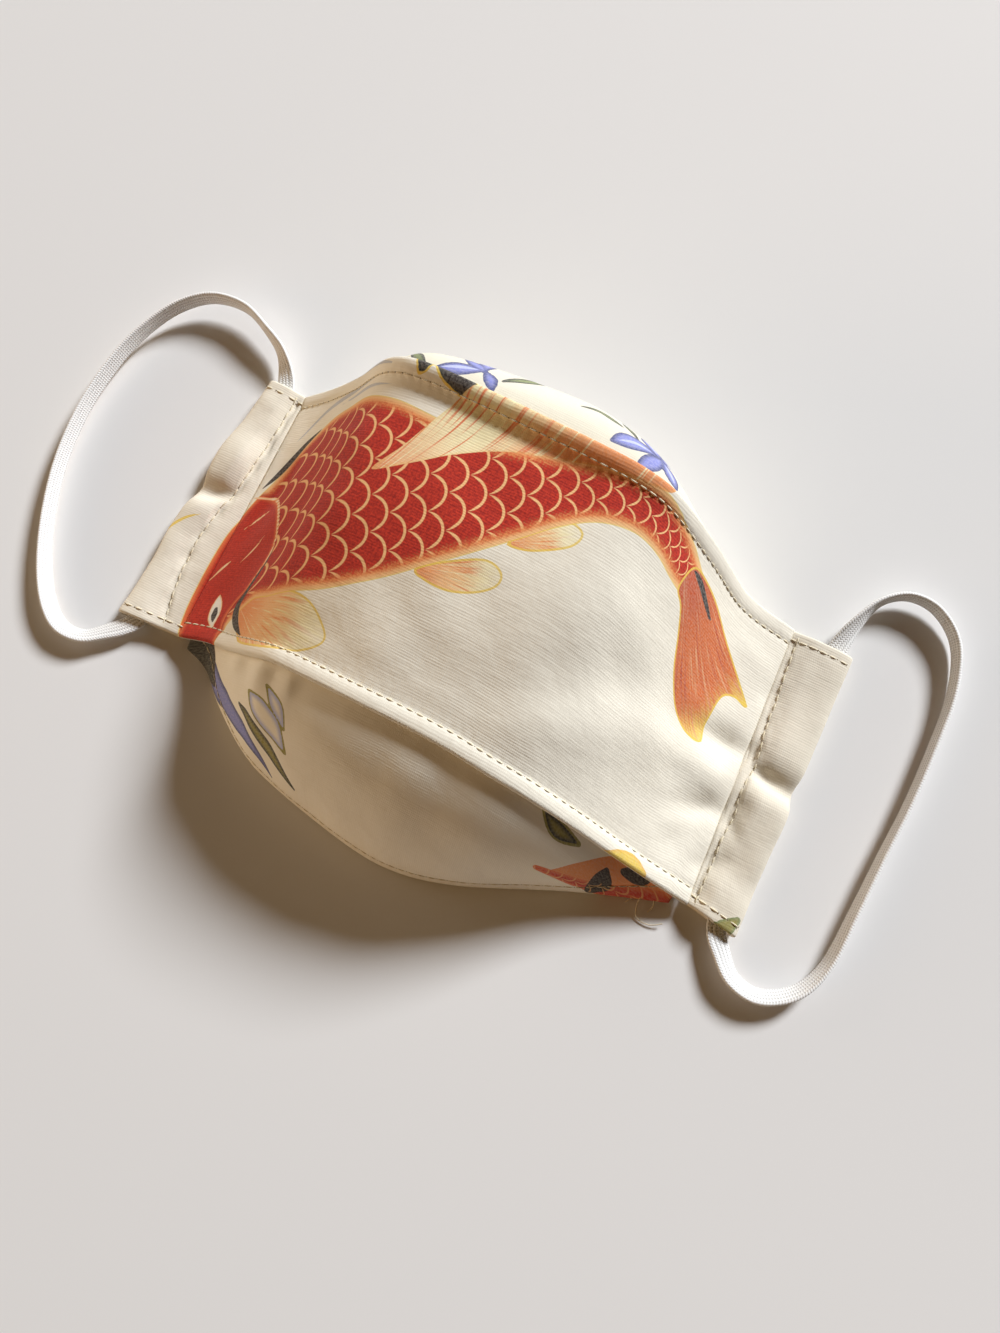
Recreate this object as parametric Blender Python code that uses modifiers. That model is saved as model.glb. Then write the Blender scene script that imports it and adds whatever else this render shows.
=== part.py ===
"""Cloth face mask: a domed front panel with nose and chin panels under it, side casings and ear loops.

Metres, +Z up. The mask lies on its rim with the outside up. +X runs along its width, +Y points to the nose
edge, and the origin is on the resting plane under the middle of the cloth.
"""
import math
from collections import namedtuple

import bmesh
import bpy
from mathutils import Vector

# Cloth
CLOTH = 0.0012                # two layers of cotton
FOLDED_EDGE = 0.0020          # cloth folded back along the front panel's long edges
HEM = 0.0018                  # turned hem of the nose and chin panels
HEM_BAND = 0.0060             # width over which an edge thickens
GAP = 0.0003                  # between pieces that lie on each other

# Front panel and side casings
MASK_WIDTH = 0.1800           # from side fold to side fold
SIDE_LENGTH = 0.0765          # a side casing from its chin end to its nose end
CASING_WIDTH = 0.0155
CASING_HEIGHT = 0.0052
CASING_SEAM_HEIGHT = 0.0042   # where the casing is stitched down beside the front panel
CASING_FLAT_SHARE = 0.9       # share of the section's lower half that is pressed flat on the table
FOLD_SWELL = 0.0028           # most that a side fold bulges out
FOLD_SKEW = 0.0014            # the side folds lean in by this much at the nose end, out at the chin end
LEFT_SEAM_SKEW = 0.0020       # the left seam leans out at the nose end
RIGHT_SEAM_SKEW = -0.0028     # the right seam leans in there
CASING_FOLD_DEPTH = 0.0016    # deepest dent across a casing
NOSE_HEIGHT = 0.0500          # top of the front panel's nose edge
CHIN_HEIGHT = 0.0400          # top of its chin edge
NOSE_BOW = 0.0046             # how far the nose edge bows out beyond the casings
CHIN_BOW = 0.0058             # how far the chin edge bows in
NOSE_RIDGE = 0.0026           # the nose edge stands proud of the panel as a soft ridge
NOSE_RIDGE_WIDTH = 0.0060
CHIN_RIDGE = 0.0008
CHIN_RIDGE_WIDTH = 0.0050
RIDGE_FADE = 0.0300           # behind a ridge the panel rises again over this width
RIDGE_RECOVERY = 0.67         # by this share of the ridge's height
CROWN = 0.0022                # rise of the panel's middle
CREASE_DEPTH = 0.0034         # deepest crease in the front panel
CREASE_MARGIN = 0.25          # share of the panel's height over which creases die out towards its edges

# Nose and chin panels
TUCK = 0.0050                 # how far each lies under the front panel's edge
EDGE_INSET = 0.0007           # how far its fold stays inside that edge
NOSE_REACH = 0.0255           # nose hem beyond the casings' ends
CHIN_REACH = 0.0255
NOSE_FULLNESS = 2.0           # roundness of the section: 1 is straight, 2 a quarter ellipse
CHIN_FULLNESS = 1.7
PANEL_END = 0.0022            # their ends stop short of the casings' seam
STANDING_HEIGHT = 0.0140      # edge height from which a panel stands up from the table
GATHER_DEPTH = 0.0011         # small gathers under the chin edge

# Elastic
ELASTIC_WIDTH = 0.0050
ELASTIC_THICKNESS = 0.0012
ROUTE_SPACING = 0.0045        # between points of the smooth route

# Meshes
COLUMNS = 46
FRONT_ROWS = 16
ROWS_TUCKED = 2
ROWS_BELOW_FOLD = 11
RING_POINTS = 16
CASING_RINGS = 18
SLOPE_STEP = 0.002            # share of a panel over which its slope is measured

HALF_PANEL = MASK_WIDTH / 2 - CASING_WIDTH - GAP
HALF_SIDE = SIDE_LENGTH / 2
END_LEVEL = HEM + GAP + FOLDED_EDGE / 2       # middle of the front cloth where it meets the casings

# One row for each section of the mask across its width. along is a share of half the front panel, the rises
# are shares of the edges' heights, the bows of NOSE_BOW and CHIN_BOW, the hems of NOSE_REACH and CHIN_REACH,
# and the ridge is a share of NOSE_RIDGE.
Section = namedtuple("Section", "along nose_rise chin_rise nose_bow chin_bow nose_hem chin_hem nose_ridge")
SECTIONS = (
    Section(-1.00, 0.000, 0.00, 0.00, 0.30, -0.02, -0.02, 0.00),
    Section(-0.87, 0.210, 0.12, 0.60, 0.62, 0.14, 0.09, 0.05),
    Section(-0.74, 0.500, 0.33, 0.85, 0.68, 0.42, 0.38, 0.20),
    Section(-0.60, 0.860, 0.63, 0.95, 0.80, 0.64, 0.63, 0.50),
    Section(-0.48, 0.980, 0.82, 1.00, 0.92, 0.78, 0.77, 0.85),
    Section(-0.20, 1.000, 0.98, 1.00, 0.95, 0.95, 0.93, 1.00),
    Section(0.02, 1.000, 1.00, 0.95, 1.00, 1.00, 1.00, 1.00),
    Section(0.16, 0.995, 0.98, 0.92, 0.97, 0.94, 0.965, 0.85),
    Section(0.30, 0.965, 0.94, 0.90, 0.85, 0.80, 0.85, 0.55),
    Section(0.42, 0.880, 0.86, 0.78, 0.80, 0.58, 0.71, 0.40),
    Section(0.60, 0.590, 0.63, 0.30, 0.68, 0.30, 0.46, 0.30),
    Section(0.78, 0.200, 0.29, 0.00, 0.52, 0.11, 0.22, 0.25),
    Section(1.00, 0.000, 0.00, 0.00, 0.33, -0.02, -0.05, 0.20),
)

# Creases of the front panel. along and across give the middle as shares of half the panel and of its height,
# heading is degrees from the width, length and width are shares of SIDE_LENGTH, depth is a share of
# CREASE_DEPTH, negative where the cloth stands up.
Crease = namedtuple("Crease", "along across heading length width depth")
FRONT_CREASES = (
    Crease(-0.90, 0.66, 80, 0.20, 0.050, 0.50),
    Crease(-0.74, 0.45, 70, 0.26, 0.075, 0.40),
    Crease(0.91, 0.53, 4, 0.16, 0.050, 0.80),
    Crease(0.86, 0.42, 0, 0.20, 0.055, -0.50),
    Crease(0.95, 0.31, 25, 0.12, 0.045, 0.50),
    Crease(0.92, 0.16, 75, 0.12, 0.050, 0.45),
    Crease(0.50, 0.48, 40, 0.34, 0.110, 0.45),
    Crease(0.45, 0.28, 35, 0.30, 0.100, -0.30),
)

# Gathers of the chin panel under its left end: along as above, depth a share of GATHER_DEPTH.
Gather = namedtuple("Gather", "along width depth")
GATHERS = (
    Gather(-0.69, 0.030, -1.0),
    Gather(-0.62, 0.030, 0.9),
    Gather(-0.55, 0.030, -1.0),
    Gather(-0.48, 0.030, 0.8),
    Gather(-0.41, 0.030, -0.8),
)
GATHER_START = 0.16           # share of the chin panel's drop over which they deepen
GATHER_FALL = 0.40            # and over which they fade

# Dents across the casings: at is a share of SIDE_LENGTH from the middle, spread a share of it too, depth a
# share of CASING_FOLD_DEPTH, negative where the casing puffs up, and swell a share of FOLD_SWELL.
Dent = namedtuple("Dent", "at spread depth swell")
LEFT_DENTS = (
    Dent(0.03, 0.045, 1.00, -0.40),
    Dent(0.18, 0.130, -0.60, 0.55),
    Dent(-0.13, 0.120, 0.10, 1.00),
    Dent(-0.34, 0.120, 0.35, 0.00),
)
RIGHT_DENTS = (
    Dent(0.00, 0.045, 1.00, -0.25),
    Dent(-0.12, 0.070, -0.45, 0.10),
    Dent(-0.34, 0.060, 0.40, 0.00),
    Dent(0.30, 0.150, 0.20, 0.00),
)

# Routes of the elastic, from inside the casing's nose end to inside its chin end: the points of the middle of
# the band, in metres, with its lean in degrees, 0 where it stands on its edge and 90 where it lies flat.
RoutePoint = namedtuple("RoutePoint", "x y z lean")
LEFT_ROUTE = (
    RoutePoint(-0.0832, 0.0200, 0.0026, 90),
    RoutePoint(-0.0834, 0.0320, 0.0026, 90),
    RoutePoint(-0.0842, 0.0392, 0.0029, 86),
    RoutePoint(-0.0895, 0.0468, 0.0044, 35),
    RoutePoint(-0.0968, 0.0512, 0.0053, 10),
    RoutePoint(-0.1060, 0.0545, 0.0058, 4),
    RoutePoint(-0.1160, 0.0530, 0.0058, 4),
    RoutePoint(-0.1237, 0.0466, 0.0054, 5),
    RoutePoint(-0.1290, 0.0372, 0.0046, 6),
    RoutePoint(-0.1322, 0.0260, 0.0038, 8),
    RoutePoint(-0.1333, 0.0110, 0.0031, 10),
    RoutePoint(-0.1315, -0.0040, 0.0028, 12),
    RoutePoint(-0.1275, -0.0175, 0.0027, 15),
    RoutePoint(-0.1210, -0.0315, 0.0026, 20),
    RoutePoint(-0.1130, -0.0430, 0.0026, 32),
    RoutePoint(-0.1050, -0.0492, 0.0025, 45),
    RoutePoint(-0.0975, -0.0494, 0.0025, 52),
    RoutePoint(-0.0920, -0.0455, 0.0025, 66),
    RoutePoint(-0.0862, -0.0395, 0.0026, 88),
    RoutePoint(-0.0846, -0.0320, 0.0026, 90),
    RoutePoint(-0.0838, -0.0200, 0.0026, 90),
)
RIGHT_ROUTE = (
    RoutePoint(0.0832, 0.0200, 0.0026, -90),
    RoutePoint(0.0834, 0.0320, 0.0026, -90),
    RoutePoint(0.0840, 0.0395, 0.0029, -86),
    RoutePoint(0.0856, 0.0480, 0.0038, -40),
    RoutePoint(0.0888, 0.0560, 0.0042, -10),
    RoutePoint(0.0950, 0.0606, 0.0042, -5),
    RoutePoint(0.1030, 0.0602, 0.0038, -5),
    RoutePoint(0.1105, 0.0540, 0.0032, -6),
    RoutePoint(0.1145, 0.0420, 0.0028, -6),
    RoutePoint(0.1156, 0.0270, 0.0027, -6),
    RoutePoint(0.1158, 0.0110, 0.0027, -6),
    RoutePoint(0.1151, -0.0050, 0.0027, -8),
    RoutePoint(0.1146, -0.0200, 0.0027, -12),
    RoutePoint(0.1138, -0.0340, 0.0026, -20),
    RoutePoint(0.1100, -0.0432, 0.0026, -34),
    RoutePoint(0.1025, -0.0485, 0.0025, -45),
    RoutePoint(0.0950, -0.0478, 0.0025, -52),
    RoutePoint(0.0896, -0.0430, 0.0025, -68),
    RoutePoint(0.0866, -0.0390, 0.0026, -88),
    RoutePoint(0.0852, -0.0320, 0.0026, -90),
    RoutePoint(0.0840, -0.0200, 0.0026, -90),
)

COTTON = (0.80, 0.76, 0.66, 1.0)
ELASTIC = (0.90, 0.90, 0.88, 1.0)


def clear_scene():
    for item in list(bpy.data.objects):
        bpy.data.objects.remove(item, do_unlink=True)


def collection(name):
    group = bpy.data.collections.new(name)
    bpy.context.scene.collection.children.link(group)
    return group


def material(name, colour, roughness):
    finish = bpy.data.materials.new(name)
    finish.use_nodes = True
    shader = finish.node_tree.nodes["Principled BSDF"]
    shader.inputs["Base Color"].default_value = colour
    shader.inputs["Roughness"].default_value = roughness
    shader.inputs["Metallic"].default_value = 0.0
    return finish


def ease(value):
    """Smooth step from 0 to 1."""
    value = min(max(value, 0.0), 1.0)
    return value * value * (3 - 2 * value)


def bell(value):
    return math.exp(-value * value)


def read_section(along, column):
    """The value of one column of SECTIONS at any place along the width, on a smooth curve."""
    last = len(SECTIONS) - 2
    index = next((i for i in range(last) if along < SECTIONS[i + 1].along), last)
    before = SECTIONS[max(index - 1, 0)]
    start, end = SECTIONS[index], SECTIONS[index + 1]
    after = SECTIONS[min(index + 2, last + 1)]
    span = end.along - start.along
    low, high = getattr(start, column), getattr(end, column)
    slope_in = (high - getattr(before, column)) / (end.along - before.along) * span
    slope_out = (getattr(after, column) - low) / (after.along - start.along) * span
    t = (along - start.along) / span
    return (low * (1 + 2 * t) * (1 - t) ** 2 + slope_in * t * (1 - t) ** 2
            + high * t * t * (3 - 2 * t) + slope_out * t * t * (t - 1))


def edge_lines(along):
    """Place of the chin edge and of the nose edge, as (y, z) of the cloth's middle, at a share of the width."""
    nose_y = HALF_SIDE + NOSE_BOW * read_section(along, "nose_bow")
    chin_y = -HALF_SIDE + CHIN_BOW * read_section(along, "chin_bow")
    nose_top = NOSE_HEIGHT - FOLDED_EDGE / 2 - END_LEVEL
    chin_top = CHIN_HEIGHT - FOLDED_EDGE / 2 - END_LEVEL
    nose_z = END_LEVEL + nose_top * read_section(along, "nose_rise")
    chin_z = END_LEVEL + chin_top * read_section(along, "chin_rise")
    return (chin_y, chin_z), (nose_y, nose_z)


def ridge_hollow(distance, width):
    """How far the panel has dropped at a distance behind a ridge, as a share of the ridge's height."""
    return ease(distance / width) * (1 - RIDGE_RECOVERY * ease((distance - width) / RIDGE_FADE))


def crease_depth(x, y):
    """Depth of all the front panel's creases at a place in plan."""
    depth = 0.0
    for crease in FRONT_CREASES:
        turn = math.radians(crease.heading)
        dx = x - crease.along * HALF_PANEL
        dy = y - (crease.across - 0.5) * SIDE_LENGTH
        run = (dx * math.cos(turn) + dy * math.sin(turn)) / (crease.length * SIDE_LENGTH)
        off = (dy * math.cos(turn) - dx * math.sin(turn)) / (crease.width * SIDE_LENGTH)
        depth += crease.depth * CREASE_DEPTH * bell(run) * bell(off)
    return depth


def seam_shift(along, y):
    """How far the seams' skew moves a point of the front panel along the width."""
    skew = RIGHT_SEAM_SKEW if along > 0 else LEFT_SEAM_SKEW
    return math.copysign(1, along) * skew * along ** 4 * y / HALF_SIDE


def front_point(along, across):
    """A point of the front cloth's middle: along from -1 to 1, across from the chin edge 0 to the nose edge 1."""
    (chin_y, chin_z), (nose_y, nose_z) = edge_lines(along)
    y = chin_y + (nose_y - chin_y) * across
    x = along * HALF_PANEL + seam_shift(along, y)
    z = chin_z + (nose_z - chin_z) * across
    loft = ease((min(chin_z, nose_z) - END_LEVEL) / STANDING_HEIGHT)
    z += CROWN * loft * math.sin(math.pi * across)
    nose_ridge = NOSE_RIDGE * read_section(along, "nose_ridge")
    z -= nose_ridge * loft * ridge_hollow(nose_y - y, NOSE_RIDGE_WIDTH)
    z -= CHIN_RIDGE * loft * ridge_hollow(y - chin_y, CHIN_RIDGE_WIDTH)
    inside = ease(across / CREASE_MARGIN) * ease((1 - across) / CREASE_MARGIN)
    z -= crease_depth(x, y) * inside * ease((z - END_LEVEL) / CREASE_DEPTH)
    return Vector((x, y, z))


def front_normal(along, across):
    width_way = front_point(along + SLOPE_STEP, across) - front_point(along - SLOPE_STEP, across)
    height_way = front_point(along, across + SLOPE_STEP) - front_point(along, across - SLOPE_STEP)
    return width_way.cross(height_way).normalized()


def edge_thickness(distance, edge, band):
    """Thickness of a cloth at a distance from its folded edge."""
    return edge + (CLOTH - edge) * ease(distance / band)


def under_front(along, across):
    """The middle of a cloth that lies against the underside of the front panel."""
    (chin_y, _), (nose_y, _) = edge_lines(along)
    distance = min(across, 1 - across) * (nose_y - chin_y)
    depth = edge_thickness(distance, FOLDED_EDGE, HEM_BAND) / 2 + GAP + CLOTH / 2
    return front_point(along, across) - front_normal(along, across) * depth


def side_panel_point(along, down, toward_nose):
    """A point of the nose or chin panel. down is -1 where it starts under the front panel, 0 at its fold
    and 1 at its hem."""
    (chin_y, _), (nose_y, _) = edge_lines(along)
    height = nose_y - chin_y
    inset = (EDGE_INSET + TUCK * max(-down, 0)) / height
    tucked = under_front(along, 1 - inset if toward_nose else inset)
    if down <= 0:
        return tucked
    sign = 1 if toward_nose else -1
    reach = NOSE_REACH * read_section(along, "nose_hem")
    if not toward_nose:
        reach = CHIN_REACH * read_section(along, "chin_hem")
    hem_y = sign * max(HALF_SIDE + reach, sign * tucked.y + CLOTH)
    standing = ease((tucked.z - END_LEVEL) / STANDING_HEIGHT)
    fullness = NOSE_FULLNESS if toward_nose else CHIN_FULLNESS
    power = 2 / (1 + (fullness - 1) * standing)
    angle = down * math.pi / 2
    hem_z = HEM / 2 * (1 - standing)
    y = tucked.y + (hem_y - tucked.y) * math.sin(angle) ** power
    z = hem_z + (tucked.z - hem_z) * max(math.cos(angle), 0.0) ** power
    if not toward_nose:
        out = Vector((0, -math.sin(angle), math.cos(angle)))
        pull = gather_depth(along) * ease(down / GATHER_START) * (1 - ease(down / GATHER_FALL))
        y, z = y - out.y * pull, z - out.z * pull
    return Vector((tucked.x, y, z))


def gather_depth(along):
    return sum(g.depth * GATHER_DEPTH * bell((along - g.along) / g.width) for g in GATHERS)


def grid_object(name, columns, rows, place, weight, thickest, group, finish):
    """A cloth: a grid whose points are placed by a function of two shares, thickened by Solidify."""
    work = bmesh.new()
    bmesh.ops.create_grid(work, x_segments=columns, y_segments=rows, size=1.0)
    shares = [(v.co.x, (v.co.y + 1) / 2) for v in work.verts]
    for vertex, (along, across) in zip(work.verts, shares):
        vertex.co = place(along, across)
    mesh = bpy.data.meshes.new(name)
    work.to_mesh(mesh)
    work.free()
    mesh.shade_smooth()
    mesh.materials.append(finish)
    cloth = bpy.data.objects.new(name, mesh)
    group.objects.link(cloth)
    edge_group = cloth.vertex_groups.new(name="thick edge")
    for index, (along, across) in enumerate(shares):
        edge_group.add([index], weight(along, across), "REPLACE")
    wall = cloth.modifiers.new("cloth thickness", "SOLIDIFY")
    wall.offset = 0.0
    wall.thickness = thickest
    wall.vertex_group = edge_group.name
    wall.thickness_vertex_group = CLOTH / thickest
    return cloth


def make_front_panel(group, finish):
    def across_share(row):
        """Rows lie closer together near the two folded edges."""
        return 0.5 - 0.5 * math.cos(math.pi * row)

    def weight(along, row):
        (chin_y, _), (nose_y, _) = edge_lines(along)
        across = across_share(row)
        return 1 - ease(min(across, 1 - across) * (nose_y - chin_y) / HEM_BAND)

    return grid_object("front_panel", COLUMNS, FRONT_ROWS,
                       lambda along, row: front_point(along, across_share(row)),
                       weight, FOLDED_EDGE, group, finish)


def make_side_panel(name, toward_nose, group, finish):
    rows = ROWS_TUCKED + ROWS_BELOW_FOLD
    end = 1 - PANEL_END / HALF_PANEL

    def down_share(row):
        row = row if toward_nose else 1 - row
        step = row * rows
        return step / ROWS_TUCKED - 1 if step < ROWS_TUCKED else (step - ROWS_TUCKED) / ROWS_BELOW_FOLD

    def weight(along, row):
        reach = NOSE_REACH if toward_nose else CHIN_REACH
        return 1 - ease((1 - down_share(row)) * reach / HEM_BAND)

    return grid_object(name, COLUMNS, rows,
                       lambda along, row: side_panel_point(along * end, down_share(row), toward_nose),
                       weight, HEM, group, finish)


def casing_ring(share, side, seam_skew, dents):
    """One closed section of a casing's outer face: a flat underside, a round side fold, a low seam side."""
    bells = [bell((share / 2 - dent.at) / dent.spread) for dent in dents]
    sag = CASING_FOLD_DEPTH * sum(dent.depth * amount for dent, amount in zip(dents, bells))
    swell = FOLD_SWELL * sum(dent.swell * amount for dent, amount in zip(dents, bells))
    fold_x = MASK_WIDTH / 2 - FOLD_SKEW * share + swell
    seam_x = MASK_WIDTH / 2 - CASING_WIDTH + seam_skew * share
    ring = []
    for step in range(RING_POINTS):
        angle = 2 * math.pi * (step + 0.5) / RING_POINTS
        across = math.copysign(abs(math.cos(angle)) ** 0.5, math.cos(angle))
        up = math.copysign(abs(math.sin(angle)) ** 0.5, math.sin(angle))
        out = (1 + across) / 2
        top = CASING_SEAM_HEIGHT + (CASING_HEIGHT - sag - CASING_SEAM_HEIGHT) * ease(2 * out)
        level = max(up + CASING_FLAT_SHARE, 0) / (1 + CASING_FLAT_SHARE)
        ring.append(Vector((side * (seam_x + (fold_x - seam_x) * out), share * HALF_SIDE, top * level)))
    return ring


def make_casing(name, side, seam_skew, dents, group, finish):
    """A flat tunnel of cloth: rings joined along the side, thickened inwards, open at both ends."""
    work = bmesh.new()
    rings = []
    for step in range(CASING_RINGS + 1):
        ring = casing_ring(2 * step / CASING_RINGS - 1, side, seam_skew, dents)
        rings.append([work.verts.new(point) for point in ring])
    for lower, upper in zip(rings, rings[1:]):
        for step in range(RING_POINTS):
            following = (step + 1) % RING_POINTS
            work.faces.new((lower[step], lower[following], upper[following], upper[step]))
    bmesh.ops.recalc_face_normals(work, faces=work.faces)
    mesh = bpy.data.meshes.new(name)
    work.to_mesh(mesh)
    work.free()
    mesh.shade_smooth()
    mesh.materials.append(finish)
    casing = bpy.data.objects.new(name, mesh)
    group.objects.link(casing)
    wall = casing.modifiers.new("cloth thickness", "SOLIDIFY")
    wall.offset = -1.0
    wall.thickness = CLOTH
    wall.use_even_offset = True
    return casing


def smooth_route(points):
    """Points at even spacing on a smooth curve through the route's own points."""
    values = [Vector((*point,)) for point in points]
    line = []
    for index in range(len(values) - 1):
        before = values[max(index - 1, 0)]
        start, end = values[index], values[index + 1]
        after = values[min(index + 2, len(values) - 1)]
        span = math.dist(start[:3], end[:3])
        steps = max(1, round(span / ROUTE_SPACING))
        for step in range(steps):
            t = step / steps
            line.append(0.5 * (2 * start + (end - before) * t
                               + (2 * before - 5 * start + 4 * end - after) * t * t
                               + (3 * start - before - 3 * end + after) * t ** 3))
    return line + [values[-1]]


def make_ear_loop(name, route, group, finish):
    """A flat elastic: a band drawn along its route, turned at each point by its lean."""
    line = smooth_route(route)
    data = bpy.data.curves.new(name, "CURVE")
    data.dimensions = "3D"
    data.twist_mode = "Z_UP"
    data.extrude = (ELASTIC_WIDTH - ELASTIC_THICKNESS) / 2
    data.bevel_depth = ELASTIC_THICKNESS / 2
    data.bevel_resolution = 0
    data.use_fill_caps = True
    data.resolution_u = 1
    spline = data.splines.new("POLY")
    spline.points.add(len(line) - 1)
    for place, point in zip(spline.points, line):
        place.co = (point.x, point.y, point.z, 1.0)
        place.tilt = math.radians(point.w)
    data.materials.append(finish)
    loop = bpy.data.objects.new(name, data)
    group.objects.link(loop)
    return loop


def main():
    clear_scene()
    group = collection("cloth face mask")
    make_front_panel(group, material("front cotton", COTTON, 0.9))
    make_side_panel("nose_panel", True, group, material("nose cotton", COTTON, 0.9))
    make_side_panel("chin_panel", False, group, material("chin cotton", COTTON, 0.9))
    left_cotton = material("left casing cotton", COTTON, 0.9)
    right_cotton = material("right casing cotton", COTTON, 0.9)
    make_casing("left_casing", -1, LEFT_SEAM_SKEW, LEFT_DENTS, group, left_cotton)
    make_casing("right_casing", 1, RIGHT_SEAM_SKEW, RIGHT_DENTS, group, right_cotton)
    make_ear_loop("left_ear_loop", LEFT_ROUTE, group, material("left elastic", ELASTIC, 0.75))
    make_ear_loop("right_ear_loop", RIGHT_ROUTE, group, material("right elastic", ELASTIC, 0.75))


main()
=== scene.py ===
# %% [markdown]
# # A sewn cotton face mask
# The mask lies on a table with its outside up. It is five pieces of doubled cotton and two loops of flat
# elastic. The solid model holds their true places, and this lesson dresses them: finer cloth with rolled
# edges, a woven and printed finish, machine stitches, and elastic that looks knitted.
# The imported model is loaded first, because every piece is built to its measures.

# %% Load the solid model
import math
from collections import namedtuple

import bpy
import numpy as np
from mathutils import Matrix, Vector


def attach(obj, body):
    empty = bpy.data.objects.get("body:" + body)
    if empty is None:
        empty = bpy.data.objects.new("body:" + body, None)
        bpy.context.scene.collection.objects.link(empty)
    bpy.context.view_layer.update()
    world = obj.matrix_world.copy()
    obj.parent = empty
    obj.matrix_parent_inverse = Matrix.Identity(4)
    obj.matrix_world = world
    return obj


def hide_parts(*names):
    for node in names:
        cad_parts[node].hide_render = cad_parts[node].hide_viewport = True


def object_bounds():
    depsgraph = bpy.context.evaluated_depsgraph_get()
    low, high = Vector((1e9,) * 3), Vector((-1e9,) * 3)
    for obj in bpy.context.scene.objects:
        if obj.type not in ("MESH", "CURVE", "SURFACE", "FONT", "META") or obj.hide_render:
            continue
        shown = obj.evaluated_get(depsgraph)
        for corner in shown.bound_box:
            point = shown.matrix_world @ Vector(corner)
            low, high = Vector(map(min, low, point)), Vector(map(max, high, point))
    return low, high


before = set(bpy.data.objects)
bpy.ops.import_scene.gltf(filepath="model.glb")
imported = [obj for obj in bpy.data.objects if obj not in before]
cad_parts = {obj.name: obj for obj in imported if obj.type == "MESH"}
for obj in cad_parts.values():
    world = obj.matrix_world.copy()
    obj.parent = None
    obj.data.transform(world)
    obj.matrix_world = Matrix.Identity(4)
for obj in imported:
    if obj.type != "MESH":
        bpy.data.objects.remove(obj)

cad_low, cad_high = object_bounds()
print("solid model, mm:", [round(1000 * (high - low), 1) for low, high in zip(cad_low, cad_high)])

# %% [markdown]
# ## Camera
# The photographer held the camera almost straight above the table, turned and a little tipped. A camera in
# Blender looks down its own -Z axis, so three turns, written in the order of a matrix product, bring it
# there: a roll about its line of sight, a tilt up from straight down, and a turn about the vertical.

# %% Camera
CAMERA_PLACE = Vector((0.0458, -0.0500, 0.2600))
CAMERA_ELEVATION = math.radians(77.1)
CAMERA_TURN = math.radians(39.9)
CAMERA_ROLL = math.radians(-12.3)
LENS = 27.03

scene = bpy.context.scene
camera = bpy.data.objects.new("camera", bpy.data.cameras.new("camera"))
scene.collection.objects.link(camera)
camera.data.lens = LENS
camera.data.clip_start = 0.01
camera.matrix_world = (
    Matrix.Translation(CAMERA_PLACE)
    @ Matrix.Rotation(CAMERA_TURN, 4, "Z")
    @ Matrix.Rotation(math.pi / 2 - CAMERA_ELEVATION, 4, "X")
    @ Matrix.Rotation(CAMERA_ROLL, 4, "Z")
)
scene.camera = camera
print("camera stands", round(1000 * CAMERA_PLACE.z), "mm above the table")

# %% [markdown]
# ## Table and light
# Soft daylight falls from the side of the nose edge, a third of the way up the sky, so the chin panel lies
# in its own shade. One area light gives that soft-edged shadow, and a weak warm sky fills it. Two faint
# lights low down stand for what the room and a side wall send back: they graze the table, so the shadow
# stays deep, but they meet the mask's slopes squarely. The standard view transform keeps pale cotton pale.

# %% Table
TABLE_SIZE = 6.0
TABLE_DROP = 0.0001           # keeps the table clear of the hems that lie on it


def plain_finish(name, colour, roughness):
    finish = bpy.data.materials.new(name)
    finish.use_nodes = True
    shader = finish.node_tree.nodes["Principled BSDF"]
    shader.inputs["Base Color"].default_value = (*colour, 1.0)
    shader.inputs["Roughness"].default_value = roughness
    return finish


bpy.ops.mesh.primitive_plane_add(size=TABLE_SIZE, location=(0, 0, cad_low.z - TABLE_DROP))
table = bpy.context.object
table.name = "table"
table.data.materials.append(plain_finish("pale table", (0.80, 0.79, 0.775), 0.9))
print("table at", round(1000 * table.location.z, 2), "mm")

# %% Light
LIGHT_DISTANCE = 6.0
AreaLight = namedtuple("AreaLight", "name turn elevation width power colour")
LIGHTS = (                    # turn is measured in degrees from +X towards +Y
    AreaLight("window", 70, 30, 1.5, 585.0, (0.91, 0.94, 0.98)),
    AreaLight("room", -135, 7, 4.0, 140.0, (1.0, 0.68, 0.38)),
    AreaLight("side wall", 178, 3, 4.0, 160.0, (1.0, 0.86, 0.68)),
)
SKY_COLOUR = (1.0, 0.50, 0.14, 1.0)
SKY_STRENGTH = 0.06

for light in LIGHTS:
    turn, elevation = math.radians(light.turn), math.radians(light.elevation)
    towards_light = Vector((
        math.cos(turn) * math.cos(elevation), math.sin(turn) * math.cos(elevation), math.sin(elevation)))
    lamp = bpy.data.objects.new(light.name, bpy.data.lights.new(light.name, "AREA"))
    scene.collection.objects.link(lamp)
    lamp.data.shape = "DISK"
    lamp.data.size = light.width
    lamp.data.energy = light.power
    lamp.data.color = light.colour
    lamp.location = towards_light * LIGHT_DISTANCE
    lamp.rotation_mode = "QUATERNION"
    lamp.rotation_quaternion = towards_light.to_track_quat("Z", "Y")
    print(light.name, "light,", light.elevation, "degrees up")

sky = bpy.data.worlds.new("sky")
sky.use_nodes = True
sky.node_tree.nodes["Background"].inputs["Color"].default_value = SKY_COLOUR
sky.node_tree.nodes["Background"].inputs["Strength"].default_value = SKY_STRENGTH
scene.world = sky
scene.view_settings.view_transform = "Standard"

# %% [markdown]
# ## Lofts
# Cloth, casing and elastic are all one kind of form: a closed section that changes along a path. So each is
# an array of rings of points, and one helper joins ring to ring with faces. An open path is closed at its
# ends by zipping the two sides of the ring together, which keeps long thin ends neat. A path may also close
# on itself, as round the wall of a tunnel. The order of the points decides which way the faces look, so the
# helper measures the volume and turns the faces round if it comes out negative.


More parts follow.
